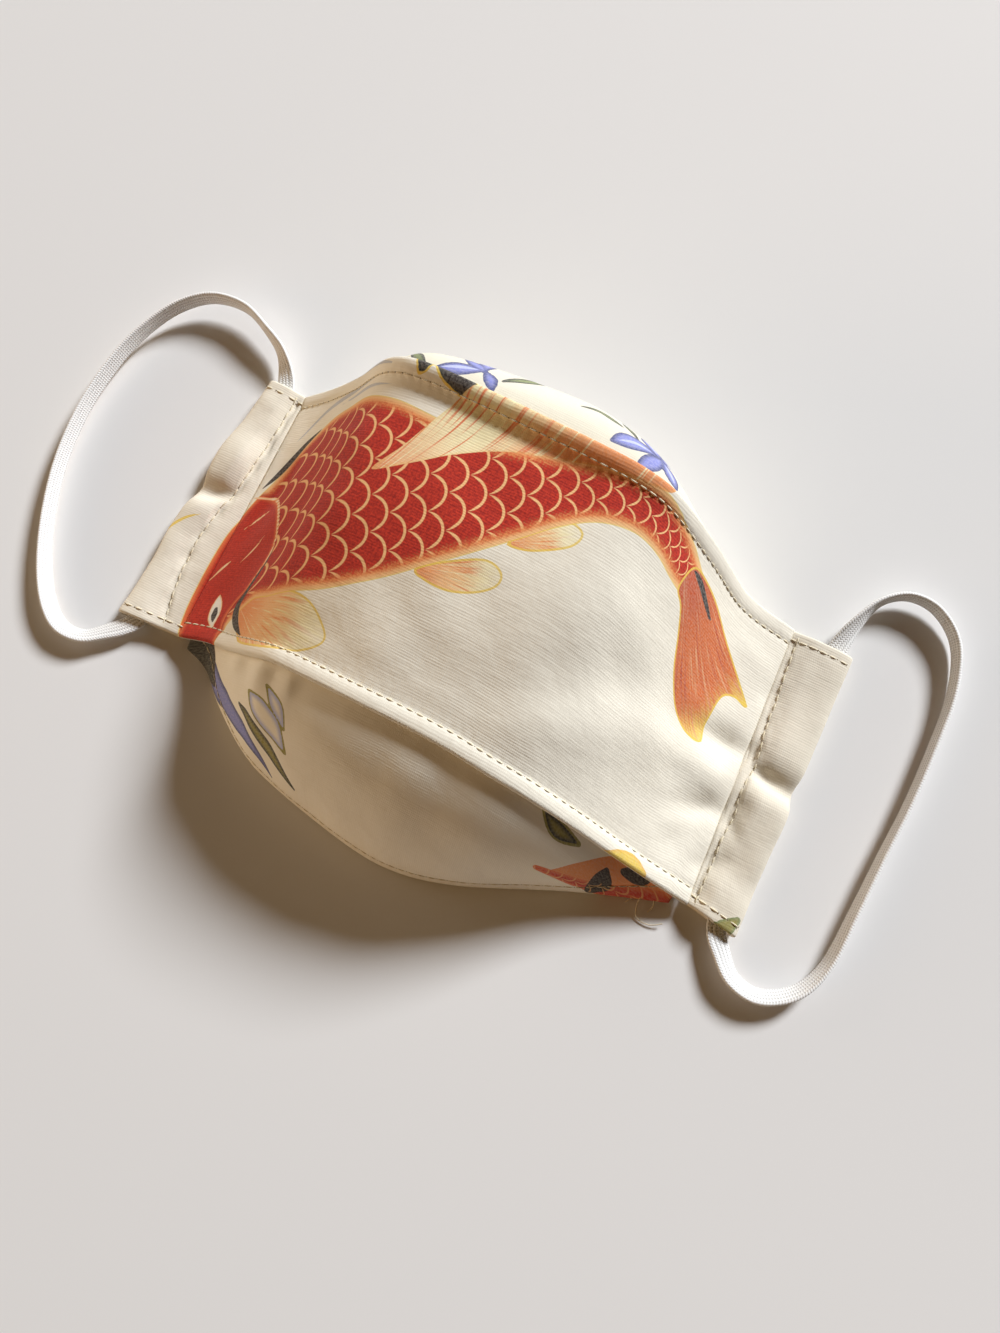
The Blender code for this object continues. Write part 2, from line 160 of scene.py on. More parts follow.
# %% The loft helper
def signed_volume(mesh):
    mesh.calc_loop_triangles()
    points = np.empty(3 * len(mesh.vertices))
    mesh.vertices.foreach_get("co", points)
    corners = np.empty(3 * len(mesh.loop_triangles), int)
    mesh.loop_triangles.foreach_get("vertices", corners)
    a, b, c = points.reshape(-1, 3)[corners.reshape(-1, 3)].transpose(1, 0, 2)
    return float(np.einsum("ij,ij->", a, np.cross(b, c)) / 6)


def loft(name, rings, finish, closed_path=False):
    """A closed mesh through rings, an array of (rings, points, 3). Its points keep the array's order."""
    count, around = rings.shape[:2]
    index = np.arange(count * around).reshape(count, around)
    start = index if closed_path else index[:-1]
    end = np.roll(index, -1, axis=0) if closed_path else index[1:]
    quads = np.stack([start, np.roll(start, -1, axis=1), np.roll(end, -1, axis=1), end], axis=-1)
    faces = quads.reshape(-1, 4)
    if not closed_path:
        side, other = np.arange(around // 2 - 1), around - 1 - np.arange(around // 2 - 1)
        zip_faces = np.stack([side, side + 1, other - 1, other], axis=-1)
        faces = np.concatenate([faces, zip_faces[:, ::-1], zip_faces + index[-1, 0]])
    mesh = bpy.data.meshes.new(name)
    mesh.from_pydata(rings.reshape(-1, 3), [], faces.tolist())
    if signed_volume(mesh) < 0:
        mesh.flip_normals()
    mesh.shade_smooth()
    mesh.materials.append(finish)
    piece = bpy.data.objects.new(name, mesh)
    scene.collection.objects.link(piece)
    print(name, len(mesh.polygons), "faces,", round(1e6 * signed_volume(mesh), 2), "cm3")
    return piece


def store(piece, name, values):
    """Keeps numbers for each point of a piece as an attribute: one column, or two or three as a vector."""
    values = np.asarray(values, float)
    if values.ndim == 1:
        piece.data.attributes.new(name, "FLOAT", "POINT").data.foreach_set("value", values)
        return
    padded_values = np.zeros((len(values), 3))
    padded_values[:, :values.shape[1]] = values
    slot = piece.data.attributes.new(name, "FLOAT_VECTOR", "POINT")
    slot.data.foreach_set("vector", padded_values.ravel())


# %% Small helpers for curves and slopes
def ease(value):
    """Smooth step from 0 to 1."""
    value = np.clip(value, 0.0, 1.0)
    return value * value * (3 - 2 * value)


def bell(value):
    return np.exp(-value * value)


def unit(vectors):
    return vectors / np.linalg.norm(vectors, axis=-1, keepdims=True)


def running_length(points, axis):
    """Length along rows or columns of an array of points, from the first one on."""
    steps = np.linalg.norm(np.diff(points, axis=axis), axis=-1)
    return np.insert(np.cumsum(steps, axis=axis), 0, 0.0, axis=axis)


def ripples(u, v, wavelength, seed, waves=14):
    """A smooth uneven surface between about -1 and 1: a fixed handful of waves in all directions."""
    random = np.random.RandomState(seed)
    total = np.zeros_like(u)
    for _ in range(waves):
        heading, phase = random.uniform(0, 2 * math.pi, 2)
        pitch = wavelength * random.uniform(0.7, 1.5)
        along_wave = u * math.cos(heading) + v * math.sin(heading)
        total += np.sin(2 * math.pi * along_wave / pitch + phase)
    return total * math.sqrt(2 / waves) / 2


# %% [markdown]
# ## Patterns as formulas
# Weave, knitting and print are all formulas of a place on the cloth. In Blender a formula is a chain of Math
# nodes, which is slow to write and hard to read. So a small class stands for a wire of the node tree, and
# plus, minus and times between wires add the nodes. The same few helpers then serve every material.

# %% Wires
class Wire:
    """A value that flows through a node tree. Arithmetic on wires adds Math nodes to the tree."""

    def __init__(self, tree, socket):
        self.tree, self.socket = tree, socket

    def __add__(self, other):
        return calculate("ADD", self, other)

    def __sub__(self, other):
        return calculate("SUBTRACT", self, other)

    def __rsub__(self, other):
        return calculate("SUBTRACT", other, self)

    def __mul__(self, other):
        return calculate("MULTIPLY", self, other)

    def __truediv__(self, other):
        return calculate("DIVIDE", self, other)

    __radd__, __rmul__ = __add__, __mul__


def plug(value, slot):
    if isinstance(value, Wire):
        value.tree.links.new(value.socket, slot)
    elif slot.type == "RGBA" and len(value) == 3:
        slot.default_value = (*value, 1.0)
    else:
        slot.default_value = value


def calculate(operation, *values):
    tree = next(value.tree for value in values if isinstance(value, Wire))
    node = tree.nodes.new("ShaderNodeMath")
    node.operation = operation
    for slot, value in zip(node.inputs, values):
        plug(value, slot)
    return Wire(tree, node.outputs[0])


def add_node(tree, kind, output=0, settings=(), **inputs):
    """Adds a node, sets its settings and its inputs by name, and returns one of its outputs as a wire."""
    node = tree.nodes.new(kind)
    for name, value in dict(settings).items():
        setattr(node, name, value)
    for name, value in inputs.items():
        plug(value, node.inputs[name.replace("_", " ")])
    return Wire(tree, node.outputs[output])


# %% Helpers for patterns
def attribute(tree, name):
    return add_node(tree, "ShaderNodeAttribute", "Vector", {"attribute_name": name})


def split(vector):
    node = vector.tree.nodes.new("ShaderNodeSeparateXYZ")
    plug(vector, node.inputs[0])
    return [Wire(vector.tree, output) for output in node.outputs]


def scaled(vector, scales):
    node = vector.tree.nodes.new("ShaderNodeVectorMath")
    node.operation = "MULTIPLY"
    plug(vector, node.inputs[0])
    node.inputs[1].default_value = scales
    return Wire(vector.tree, node.outputs[0])


def noise(vector, scale, detail=2.0):
    return add_node(vector.tree, "ShaderNodeTexNoise", "Fac", Vector=vector, Scale=scale, Detail=detail)


def wave(value, pitch):
    """A sine from -1 to 1 that repeats at a pitch."""
    return calculate("SINE", value * (2 * math.pi / pitch))


def ramp(value, low, high):
    """0 at low and 1 at high, with a smooth step between them."""
    return add_node(value.tree, "ShaderNodeMapRange", 0, {"interpolation_type": "SMOOTHSTEP"},
                    Value=value, From_Min=low, From_Max=high)


def mix(tree, share, below, above, how="MIX"):
    """Colour above over colour below, by a share from 0 to 1."""
    node = tree.nodes.new("ShaderNodeMix")
    node.data_type, node.blend_type = "RGBA", how
    for name, value in (("Factor_Float", share), ("A_Color", below), ("B_Color", above)):
        plug(value, next(slot for slot in node.inputs if slot.identifier == name))
    return Wire(tree, next(slot for slot in node.outputs if slot.identifier == "Result_Color"))


def screen_colour(red, green, blue):
    """A colour on the 0 to 255 scale of a screen, as the linear numbers that shaders work with."""
    shares = [level / 255 for level in (red, green, blue)]
    return tuple(c / 12.92 if c <= 0.04045 else ((c + 0.055) / 1.055) ** 2.4 for c in shares)


# %% [markdown]
# ## Elastic ear loops
# Each loop is flat knitted elastic, 5 mm wide, that comes out of one end of a side casing and goes back in at
# the other. It stands mostly on its edge. The route is the solid model's: points of the band's middle with a
# lean, 0 where the band stands on its edge and 90 where it lies flat. A smooth curve runs through them, and
# a small flat section with round edges is carried along it.

# %% White elastic
KNIT_COLUMN = 0.0010          # the columns of loops run along the band
KNIT_COURSE = 0.0007
KNIT_HEIGHT = 0.00018
FLUFF_SCALE = 2600


def knitted_elastic(name, colour, hollow_shade_colour):
    """Columns of small V shapes: the courses slope up on one side of a column and down on the other."""
    finish = plain_finish(name, colour, 0.75)
    tree = finish.node_tree
    shader = tree.nodes["Principled BSDF"]
    knit = attribute(tree, "knit")
    along, across, _ = split(knit)
    column = calculate("ABSOLUTE", calculate("FRACT", across / KNIT_COLUMN) - 0.5) * 2
    courses = wave(along + column * (KNIT_COURSE / 2), KNIT_COURSE)
    fluff = noise(knit, FLUFF_SCALE, 3.0)
    height = (1 - column * column) * 0.6 + courses * 0.25 + fluff * 0.35
    # painted shade: the knit is darker where it lies low, between its columns and courses
    plug(mix(tree, ramp(height, 0.05, 0.6), hollow_shade_colour, colour), shader.inputs["Base Color"])
    plug(add_node(tree, "ShaderNodeBump", 0, Height=height, Distance=KNIT_HEIGHT, Strength=0.8),
         shader.inputs["Normal"])
    shader.inputs["Sheen Weight"].default_value = 0.2
    return finish


# the second colour is painted shade for the knit's hollows
white_elastic = knitted_elastic("white elastic", screen_colour(242, 241, 238), screen_colour(196, 194, 190))

# %% Routes of the elastic
ELASTIC_WIDTH = 0.0050
ELASTIC_THICKNESS = 0.0012
RoutePoint = namedtuple("RoutePoint", "x y z lean")
LEFT_ROUTE = (
    RoutePoint(-0.0832, 0.0200, 0.0026, 90),
    RoutePoint(-0.0834, 0.0320, 0.0026, 90),
    RoutePoint(-0.0842, 0.0392, 0.0029, 86),
    RoutePoint(-0.0895, 0.0468, 0.0044, 35),
    RoutePoint(-0.0968, 0.0512, 0.0053, 10),
    RoutePoint(-0.1060, 0.0545, 0.0058, 4),
    RoutePoint(-0.1160, 0.0530, 0.0058, 4),
    RoutePoint(-0.1237, 0.0466, 0.0054, 5),
    RoutePoint(-0.1290, 0.0372, 0.0046, 6),
    RoutePoint(-0.1322, 0.0260, 0.0038, 8),
    RoutePoint(-0.1333, 0.0110, 0.0031, 10),
    RoutePoint(-0.1315, -0.0040, 0.0028, 12),
    RoutePoint(-0.1275, -0.0175, 0.0027, 15),
    RoutePoint(-0.1210, -0.0315, 0.0026, 20),
    RoutePoint(-0.1130, -0.0430, 0.0026, 32),
    RoutePoint(-0.1050, -0.0492, 0.0025, 45),
    RoutePoint(-0.0975, -0.0494, 0.0025, 52),
    RoutePoint(-0.0920, -0.0455, 0.0025, 66),
    RoutePoint(-0.0862, -0.0395, 0.0026, 88),
    RoutePoint(-0.0846, -0.0320, 0.0026, 90),
    RoutePoint(-0.0838, -0.0200, 0.0026, 90),
)
RIGHT_ROUTE = (
    RoutePoint(0.0832, 0.0200, 0.0026, -90),
    RoutePoint(0.0834, 0.0320, 0.0026, -90),
    RoutePoint(0.0840, 0.0395, 0.0029, -86),
    RoutePoint(0.0856, 0.0480, 0.0038, -40),
    RoutePoint(0.0888, 0.0560, 0.0042, -10),
    RoutePoint(0.0950, 0.0606, 0.0042, -5),
    RoutePoint(0.1030, 0.0602, 0.0038, -5),
    RoutePoint(0.1105, 0.0540, 0.0032, -6),
    RoutePoint(0.1145, 0.0420, 0.0028, -6),
    RoutePoint(0.1156, 0.0270, 0.0027, -6),
    RoutePoint(0.1158, 0.0110, 0.0027, -6),
    RoutePoint(0.1151, -0.0050, 0.0027, -8),
    RoutePoint(0.1146, -0.0200, 0.0027, -12),
    RoutePoint(0.1138, -0.0340, 0.0026, -20),
    RoutePoint(0.1100, -0.0432, 0.0026, -34),
    RoutePoint(0.1025, -0.0485, 0.0025, -45),
    RoutePoint(0.0950, -0.0478, 0.0025, -52),
    RoutePoint(0.0896, -0.0430, 0.0025, -68),
    RoutePoint(0.0866, -0.0390, 0.0026, -88),
    RoutePoint(0.0852, -0.0320, 0.0026, -90),
    RoutePoint(0.0840, -0.0200, 0.0026, -90),
)


def smooth_route(points, spacing, closed=False):
    """Points at about even spacing on a smooth curve through a few points, with their further columns."""
    values = np.array(points, float)
    if closed:
        before, start, end, after = (np.roll(values, shift, axis=0) for shift in (1, 0, -1, -2))
    else:
        before = np.vstack([values[:1], values[:-2]])
        start, end = values[:-1], values[1:]
        after = np.vstack([values[2:], values[-1:]])
    line = []
    for b, s, e, a in zip(before, start, end, after):
        steps = max(1, round(np.linalg.norm((e - s)[:3]) / spacing))
        t = (np.arange(steps) / steps)[:, None]
        line.append(0.5 * (2 * s + (e - b) * t + (2 * b - 5 * s + 4 * e - a) * t ** 2
                           + (3 * s - b - 3 * e + a) * t ** 3))
    return np.vstack([*line, values[:1] if closed else values[-1:]])


# %% Elastic bands
BAND_SPACING = 0.0010
BAND_SIDES = 24
BAND_RIBS = 5                 # lengthwise ribs of the knitting across the band
RIB_HEIGHT = 0.00006


def band_section(sides):
    """The flat section with round edges, as offsets across the band and out of its face."""
    angle = 2 * math.pi * (np.arange(sides) + 0.5) / sides
    across = np.sign(np.cos(angle)) * np.abs(np.cos(angle)) ** 0.5 * ELASTIC_WIDTH / 2
    out = np.sign(np.sin(angle)) * np.abs(np.sin(angle)) ** 0.5 * ELASTIC_THICKNESS / 2
    ribs = np.cos(2 * math.pi * BAND_RIBS * across / ELASTIC_WIDTH)
    return across, out + np.sign(out) * RIB_HEIGHT * ribs


def make_band(name, route, finish):
    line = smooth_route(route, BAND_SPACING)
    middle, lean = line[:, :3], np.radians(line[:, 3])[:, None]
    heading = unit(np.gradient(middle, axis=0))
    level = unit(np.cross(heading, [0.0, 0.0, 1.0]))
    upright = np.cross(level, heading)
    width_way = upright * np.cos(lean) + level * np.sin(lean)
    face_way = np.cross(heading, width_way)
    across, out = band_section(BAND_SIDES)
    rings = (middle[:, None] + width_way[:, None] * across[None, :, None]
             + face_way[:, None] * out[None, :, None])
    band = loft(name, rings, finish)
    length = running_length(middle, 0)
    store(band, "knit", np.stack([np.repeat(length, BAND_SIDES), np.tile(across, len(line))], axis=1))
    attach(band, "root")
    return band, middle, float(length[-1])


for side, route in (("left", LEFT_ROUTE), ("right", RIGHT_ROUTE)):
    band, middle, length = make_band(f"{side}_elastic", route, white_elastic)
    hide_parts(f"{side}_ear_loop")
    print(side, "elastic is", round(1000 * length), "mm long")

# %% [markdown]
# ## The shape of the mask
# The front panel is stretched between the two side casings and domed over the face. Its nose and chin edges
# are lines that rise, bow and fall along the width, so one table of sections across the mask holds the whole
# form: each column is read on a smooth curve. These are the solid model's own rules, worked here on whole
# arrays at once so that the cloth can be ten times finer.

# %% Sizes and sections
CLOTH = 0.0012                # two layers of cotton
FOLDED_EDGE = 0.0020          # cloth folded back along the front panel's long edges
HEM = 0.0018
HEM_BAND = 0.0060
GAP = 0.0003
MASK_WIDTH = 0.1800
SIDE_LENGTH = 0.0765
CASING_WIDTH = 0.0155
NOSE_HEIGHT = 0.0500
CHIN_HEIGHT = 0.0400
NOSE_BOW = 0.0046
CHIN_BOW = 0.0058
LEFT_SEAM_SKEW = 0.0020
RIGHT_SEAM_SKEW = -0.0028
STANDING_HEIGHT = 0.0140
HALF_PANEL = MASK_WIDTH / 2 - CASING_WIDTH - GAP
SEAM_REACH = 1 + 0.7 * GAP / HALF_PANEL   # the cloth runs on into the gap of the solid model
HALF_SIDE = SIDE_LENGTH / 2
END_LEVEL = HEM + GAP + FOLDED_EDGE / 2

Section = namedtuple("Section", "along nose_rise chin_rise nose_bow chin_bow nose_hem chin_hem nose_ridge")
SECTIONS = (
    Section(-1.00, 0.000, 0.00, 0.00, 0.30, -0.02, -0.02, 0.00),
    Section(-0.87, 0.210, 0.12, 0.60, 0.62, 0.14, 0.09, 0.05),
    Section(-0.74, 0.500, 0.33, 0.85, 0.68, 0.42, 0.38, 0.20),
    Section(-0.60, 0.860, 0.63, 0.95, 0.80, 0.64, 0.63, 0.50),
    Section(-0.48, 0.980, 0.82, 1.00, 0.92, 0.78, 0.77, 0.85),
    Section(-0.20, 1.000, 0.98, 1.00, 0.95, 0.95, 0.93, 1.00),
    Section(0.02, 1.000, 1.00, 0.95, 1.00, 1.00, 1.00, 1.00),
    Section(0.16, 0.995, 0.98, 0.92, 0.97, 0.94, 0.965, 0.85),
    Section(0.30, 0.965, 0.94, 0.90, 0.85, 0.80, 0.85, 0.55),
    Section(0.42, 0.880, 0.86, 0.78, 0.80, 0.58, 0.71, 0.40),
    Section(0.60, 0.590, 0.63, 0.30, 0.68, 0.30, 0.46, 0.30),
    Section(0.78, 0.200, 0.29, 0.00, 0.52, 0.11, 0.22, 0.25),
    Section(1.00, 0.000, 0.00, 0.00, 0.33, -0.02, -0.05, 0.20),
)


def read_section(along, column):
    """One column of SECTIONS at any places along the width, on a smooth curve through its rows."""
    x = np.array([row.along for row in SECTIONS])
    y = np.array([getattr(row, column) for row in SECTIONS])
    ahead, behind = np.append(np.arange(1, len(x)), len(x) - 1), np.append(0, np.arange(len(x) - 1))
    slope = (y[ahead] - y[behind]) / (x[ahead] - x[behind])
    i = np.clip(np.searchsorted(x, along, side="right") - 1, 0, len(x) - 2)
    span = x[i + 1] - x[i]
    t = (along - x[i]) / span
    return (y[i] * (1 + 2 * t) * (1 - t) ** 2 + slope[i] * span * t * (1 - t) ** 2
            + y[i + 1] * t * t * (3 - 2 * t) + slope[i + 1] * span * t * t * (t - 1))


def edge_lines(along):
    """The chin edge and the nose edge of the front cloth's middle, each as y and z."""
    nose_y = HALF_SIDE + NOSE_BOW * read_section(along, "nose_bow")
    chin_y = -HALF_SIDE + CHIN_BOW * read_section(along, "chin_bow")
    nose_z = END_LEVEL + (NOSE_HEIGHT - FOLDED_EDGE / 2 - END_LEVEL) * read_section(along, "nose_rise")
    chin_z = END_LEVEL + (CHIN_HEIGHT - FOLDED_EDGE / 2 - END_LEVEL) * read_section(along, "chin_rise")
    return chin_y, chin_z, nose_y, nose_z


# %% Creases and the front surface
NOSE_RIDGE, NOSE_RIDGE_WIDTH = 0.0026, 0.0060
CHIN_RIDGE, CHIN_RIDGE_WIDTH = 0.0008, 0.0050
RIDGE_FADE, RIDGE_RECOVERY = 0.0300, 0.67
CROWN = 0.0022
CREASE_DEPTH = 0.0034
CREASE_MARGIN = 0.25
Crease = namedtuple("Crease", "along across heading length width depth")
FRONT_CREASES = (
    Crease(-0.90, 0.66, 80, 0.20, 0.050, 0.50),
    Crease(-0.74, 0.45, 70, 0.26, 0.075, 0.40),
    Crease(0.92, 0.54, 4, 0.16, 0.050, 0.65),
    Crease(0.86, 0.42, 0, 0.20, 0.055, -0.30),
    Crease(0.95, 0.32, 25, 0.12, 0.045, 0.50),
    Crease(0.92, 0.16, 75, 0.12, 0.050, 0.35),
    Crease(0.50, 0.48, 40, 0.34, 0.110, 0.45),
    Crease(0.45, 0.28, 35, 0.30, 0.100, -0.30),
)


def crease_depth(x, y):
    depth = np.zeros_like(x)
    for crease in FRONT_CREASES:
        turn = math.radians(crease.heading)
        dx = x - crease.along * HALF_PANEL
        dy = y - (crease.across - 0.5) * SIDE_LENGTH
        run = (dx * math.cos(turn) + dy * math.sin(turn)) / (crease.length * SIDE_LENGTH)
        off = (dy * math.cos(turn) - dx * math.sin(turn)) / (crease.width * SIDE_LENGTH)
        depth += crease.depth * CREASE_DEPTH * bell(run) * bell(off)
    return depth


def ridge_hollow(distance, width):
    return ease(distance / width) * (1 - RIDGE_RECOVERY * ease((distance - width) / RIDGE_FADE))


def front_place(along, across):
    """The front cloth's middle: along from -1 to 1, across from the chin edge 0 to the nose edge 1."""
    chin_y, chin_z, nose_y, nose_z = edge_lines(along)
    y = chin_y + (nose_y - chin_y) * across
    skew = np.where(along > 0, RIGHT_SEAM_SKEW, LEFT_SEAM_SKEW)
    x = along * HALF_PANEL + np.sign(along) * skew * along ** 4 * y / HALF_SIDE
    z = chin_z + (nose_z - chin_z) * across
    loft_share = ease((np.minimum(chin_z, nose_z) - END_LEVEL) / STANDING_HEIGHT)
    z = z + CROWN * loft_share * np.sin(math.pi * across)
    nose_ridge = NOSE_RIDGE * read_section(along, "nose_ridge")
    z = z - nose_ridge * loft_share * ridge_hollow(nose_y - y, NOSE_RIDGE_WIDTH)
    z = z - CHIN_RIDGE * loft_share * ridge_hollow(y - chin_y, CHIN_RIDGE_WIDTH)
    inside = ease(across / CREASE_MARGIN) * ease((1 - across) / CREASE_MARGIN)
    z = z - crease_depth(x, y) * inside * ease((z - END_LEVEL) / CREASE_DEPTH)
    return np.stack([x, y, z], axis=-1)


print("front panel is", round(2000 * HALF_PANEL), "mm wide,",
      round(1000 * running_length(front_place(np.zeros(200), np.linspace(0, 1, 200)), 0)[-1]),
      "mm of cloth over its middle")

# %% [markdown]
# ## Doubled cloth with rolled edges
# Each panel is a printed cotton and a lining, turned in at the edge and stitched down a few millimetres from
# it. That edge is round, thicker than the cloth, and has a fine groove where the two layers meet. So a panel
# is built as a closed ring for every column of threads: the outer face, round the rolled edge, the lining
# face, and back round the other edge. Solidify would give flat square rims, so the rings are worked out.
# Two numbers go with every point: its place on the flat cloth in metres, found by measuring along the
# surface, which is what a weave and a print follow, and whether it is on the outside.

# %% The doubled cloth helper
RIM_STEPS = 8
LAYER_GROOVE = 0.30           # depth of the groove between the layers, as a share of the edge's radius
LAYER_GROOVE_WIDTH = 0.30     # its width, radians of the rolled edge


def normals_of(points):
    """Directions square to a surface that is given as an array of points."""
    return unit(np.cross(np.gradient(points, axis=0), np.gradient(points, axis=1)))


def rim(edge, inward, normal, radius):
    """The rolled edge of every column, from the outer face round to the lining face."""
    angle = (math.pi * (np.arange(RIM_STEPS) + 1) / (RIM_STEPS + 1))[:, None]
    outward = unit(edge - inward)
    groove = 1 - LAYER_GROOVE * bell((angle - math.pi / 2) / LAYER_GROOVE_WIDTH)
    return edge[:, None] + radius[:, None, None] * (
        np.cos(angle) * normal[:, None] + np.sin(angle) * groove * outward[:, None])


def double_cloth(name, middle, outside, thickness, finish, zero_row):
    """A panel of doubled cloth round its middle surface, an array of (columns, rows, 3) points."""
    normal = normals_of(middle) * outside
    half = thickness[..., None] / 2
    outer, lining = middle + normal * half, middle - normal * half
    start_rim = rim(middle[:, 0], middle[:, 1], normal[:, 0], thickness[:, 0] / 2)
    end_rim = rim(middle[:, -1], middle[:, -2], normal[:, -1], thickness[:, -1] / 2)
    first_half = RIM_STEPS // 2
    rings = np.concatenate([start_rim[:, :first_half][:, ::-1], outer, end_rim, lining[:, ::-1],
                            start_rim[:, first_half:][:, ::-1]], axis=1)
    piece = loft(name, rings, finish)
    store(piece, "cloth", flat_places(middle, thickness, zero_row).reshape(-1, 3))
    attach(piece, "root")
    return piece, outer


def flat_places(middle, thickness, zero_row):
    """Each point's place on the flat cloth, from the middle column and one row, and 1 outside, 0 inside."""
    u = running_length(middle, 0)
    u -= u[len(u) // 2]
    v = running_length(middle, 1)
    v -= v[:, zero_row][:, None]
    turn = math.pi * (np.arange(RIM_STEPS) + 1) / (RIM_STEPS + 1)
    share = 1 - turn / math.pi
    ones = np.ones_like(u)

    def edge_band(column, sign):
        reach = thickness[:, column] / 2
        return np.stack([np.repeat(u[:, column][:, None], RIM_STEPS, axis=1),
                         v[:, column][:, None] + sign * reach[:, None] * turn,
                         np.broadcast_to(share, (len(u), RIM_STEPS))], axis=-1)

    faces = [np.stack([u, v, side * ones], axis=-1) for side in (1, 0)]
    start, end = edge_band(0, -1), edge_band(-1, 1)
    first_half = RIM_STEPS // 2
    return np.concatenate([start[:, :first_half][:, ::-1], faces[0], end, faces[1][:, ::-1],
                           start[:, first_half:][:, ::-1]], axis=1)


# %% [markdown]
# ## Cotton
# The cloth is a plain weave with slightly heavier threads along the mask, so it shows fine ribs that way.
# Each thread looks a little lighter or darker than its neighbour, because the colour is a little darker
# where the weave lies low: painted shade that goes with its bumps. The pattern reads the place on the flat
# cloth, so the ribs follow the panel round its folds. The print lies on the outside only: the ink takes up
# the tone of the threads, which gives it a fine speckle.

# %% Cotton
RIB_PITCH = 0.00064
THREAD_PITCH = 0.00046
WEAVE_HEIGHT = 0.00005
THREAD_WANDER = 0.0016        # how far threads stray from straight
CRUMPLE_HEIGHT = 0.00055
WANDER_SCALE, PATCH_SCALE, MOTTLE_SCALE, CRUMPLE_SCALE, SPECKLE_SCALE = 70, 26, 45, 190, 1600
CREAM = screen_colour(248, 241, 224)
# painted shade: the nose panel is the front's own cotton, painted a darker cream to tone down its strong
# light
NOSE_SHADE_CREAM = screen_colour(229, 222, 202)
# painted shade: the casings are the front's own cotton folded over, painted a darker cream that stands in for
# shade
CASING_SHADE_CREAM = screen_colour(237, 228, 209)
LINING = screen_colour(240, 236, 224)


def cotton(name, ground, paint=None):
    finish = plain_finish(name, ground, 0.88)
    tree = finish.node_tree
    shader = tree.nodes["Principled BSDF"]
    cloth = attribute(tree, "cloth")
    along, across, outside = split(cloth)
    wander = noise(cloth, WANDER_SCALE) * THREAD_WANDER
    ribs = wave(across + wander, RIB_PITCH)
    threads = wave(along + wander, THREAD_PITCH)
    slubs = noise(scaled(cloth, (120, 1500, 0)), 1.0) - 0.5
    cross_slubs = noise(scaled(cloth, (1900, 150, 0)), 1.0) - 0.5
    patches = ramp(noise(cloth, PATCH_SCALE), 0.3, 0.7) * 0.6 + 0.4
    weave = ribs * patches * 0.30 + threads * 0.2 + slubs * 1.5 + cross_slubs * 0.9
    mottle = noise(cloth, MOTTLE_SCALE, 3.0)
    colour = mix(tree, ramp(mottle, 0.25, 0.75), tuple(0.97 * c for c in ground), ground)
    if paint:
        speckle = noise(scaled(cloth, (SPECKLE_SCALE, SPECKLE_SCALE, 0)), 1.0) + weave * 0.10
        printed = paint(tree, colour, ramp(speckle, 0.25, 0.75))
        colour = mix(tree, ramp(outside, 0.3, 0.7), LINING, printed)
    # painted shade: the cloth's colour is darkened where the weave lies low
    shade = ramp(weave, -1.3, 1.0)
    plug(mix(tree, 0.75, colour, mix(tree, shade, (0.93, 0.925, 0.91), (1.0, 1.0, 1.0)), "MULTIPLY"),
         shader.inputs["Base Color"])
    crumple = noise(cloth, CRUMPLE_SCALE, 2.0)
    bumps = add_node(tree, "ShaderNodeBump", 0, Height=weave, Distance=WEAVE_HEIGHT, Strength=0.7)
    bumps = add_node(tree, "ShaderNodeBump", 0, Height=crumple, Distance=CRUMPLE_HEIGHT, Strength=0.35,
                     Normal=bumps)
    plug(bumps, shader.inputs["Normal"])
    shader.inputs["Sheen Weight"].default_value = 0.06
    shader.inputs["Sheen Roughness"].default_value = 0.5
    return finish


# %% [markdown]
# ## The print
# The cotton has a traditional print: a red carp across the front, and sprays of leaves and violet petals.
# It is drawn the way a textile designer draws it, as shapes on the flat cloth, in millimetres from the
# middle of the panel. There are two tools, a closed outline and a brush stroke whose width changes. Each
# gives every point of the mesh one number: how far it lies inside the shape, negative outside. That number
# changes evenly over the cloth, so the material can cut a crisp edge where it passes zero, much finer than
# the mesh, and can tint the ink by the distance from the edge. The carp's scales are not drawn one by one:
# each point is counted in scales along the fish's spine and across it, and the material draws an arc in each.

# %% Drawing tools
OUTLINE_SPACING = 1.2


def nearest(places, line):
    """For each place: how far it is from each stretch of a line, and how far along the stretch."""
    start, step = line[:-1, :2], np.diff(line[:, :2], axis=0)
    offset = places[:, None] - start
    share = np.clip((offset * step).sum(-1) / (step * step).sum(-1), 0.0, 1.0)
    return np.linalg.norm(offset - share[..., None] * step, axis=-1), share


def stroke(places, points):
    """A brush stroke through points of x, y and half width."""
    line = smooth_route(points, OUTLINE_SPACING)
    distance, share = nearest(places, line)
    return (line[:-1, 2] + share * np.diff(line[:, 2]) - distance).max(axis=1)


def outline(places, points):
    """A smooth closed outline."""
    line = smooth_route(points, OUTLINE_SPACING, closed=True)
    distance = nearest(places, line)[0].min(axis=1)
    corners = line - places[:, None]
    ahead, behind = corners[:, 1:], corners[:, :-1]
    turn = np.arctan2(behind[..., 0] * ahead[..., 1] - behind[..., 1] * ahead[..., 0],
                      (behind * ahead).sum(-1)).sum(axis=1)
    return np.where(np.abs(turn) > math.pi, distance, -distance)


def flat_millimetres(piece):
    """The place of every point of a cloth on its flat pattern."""
    values = np.empty(3 * len(piece.data.vertices))
    piece.data.attributes["cloth"].data.foreach_get("vector", values)
    return 1000 * values.reshape(-1, 3)[:, :2]


# %% Layers of ink
Ink = namedtuple("Ink", "name edge_colour colour strokes")


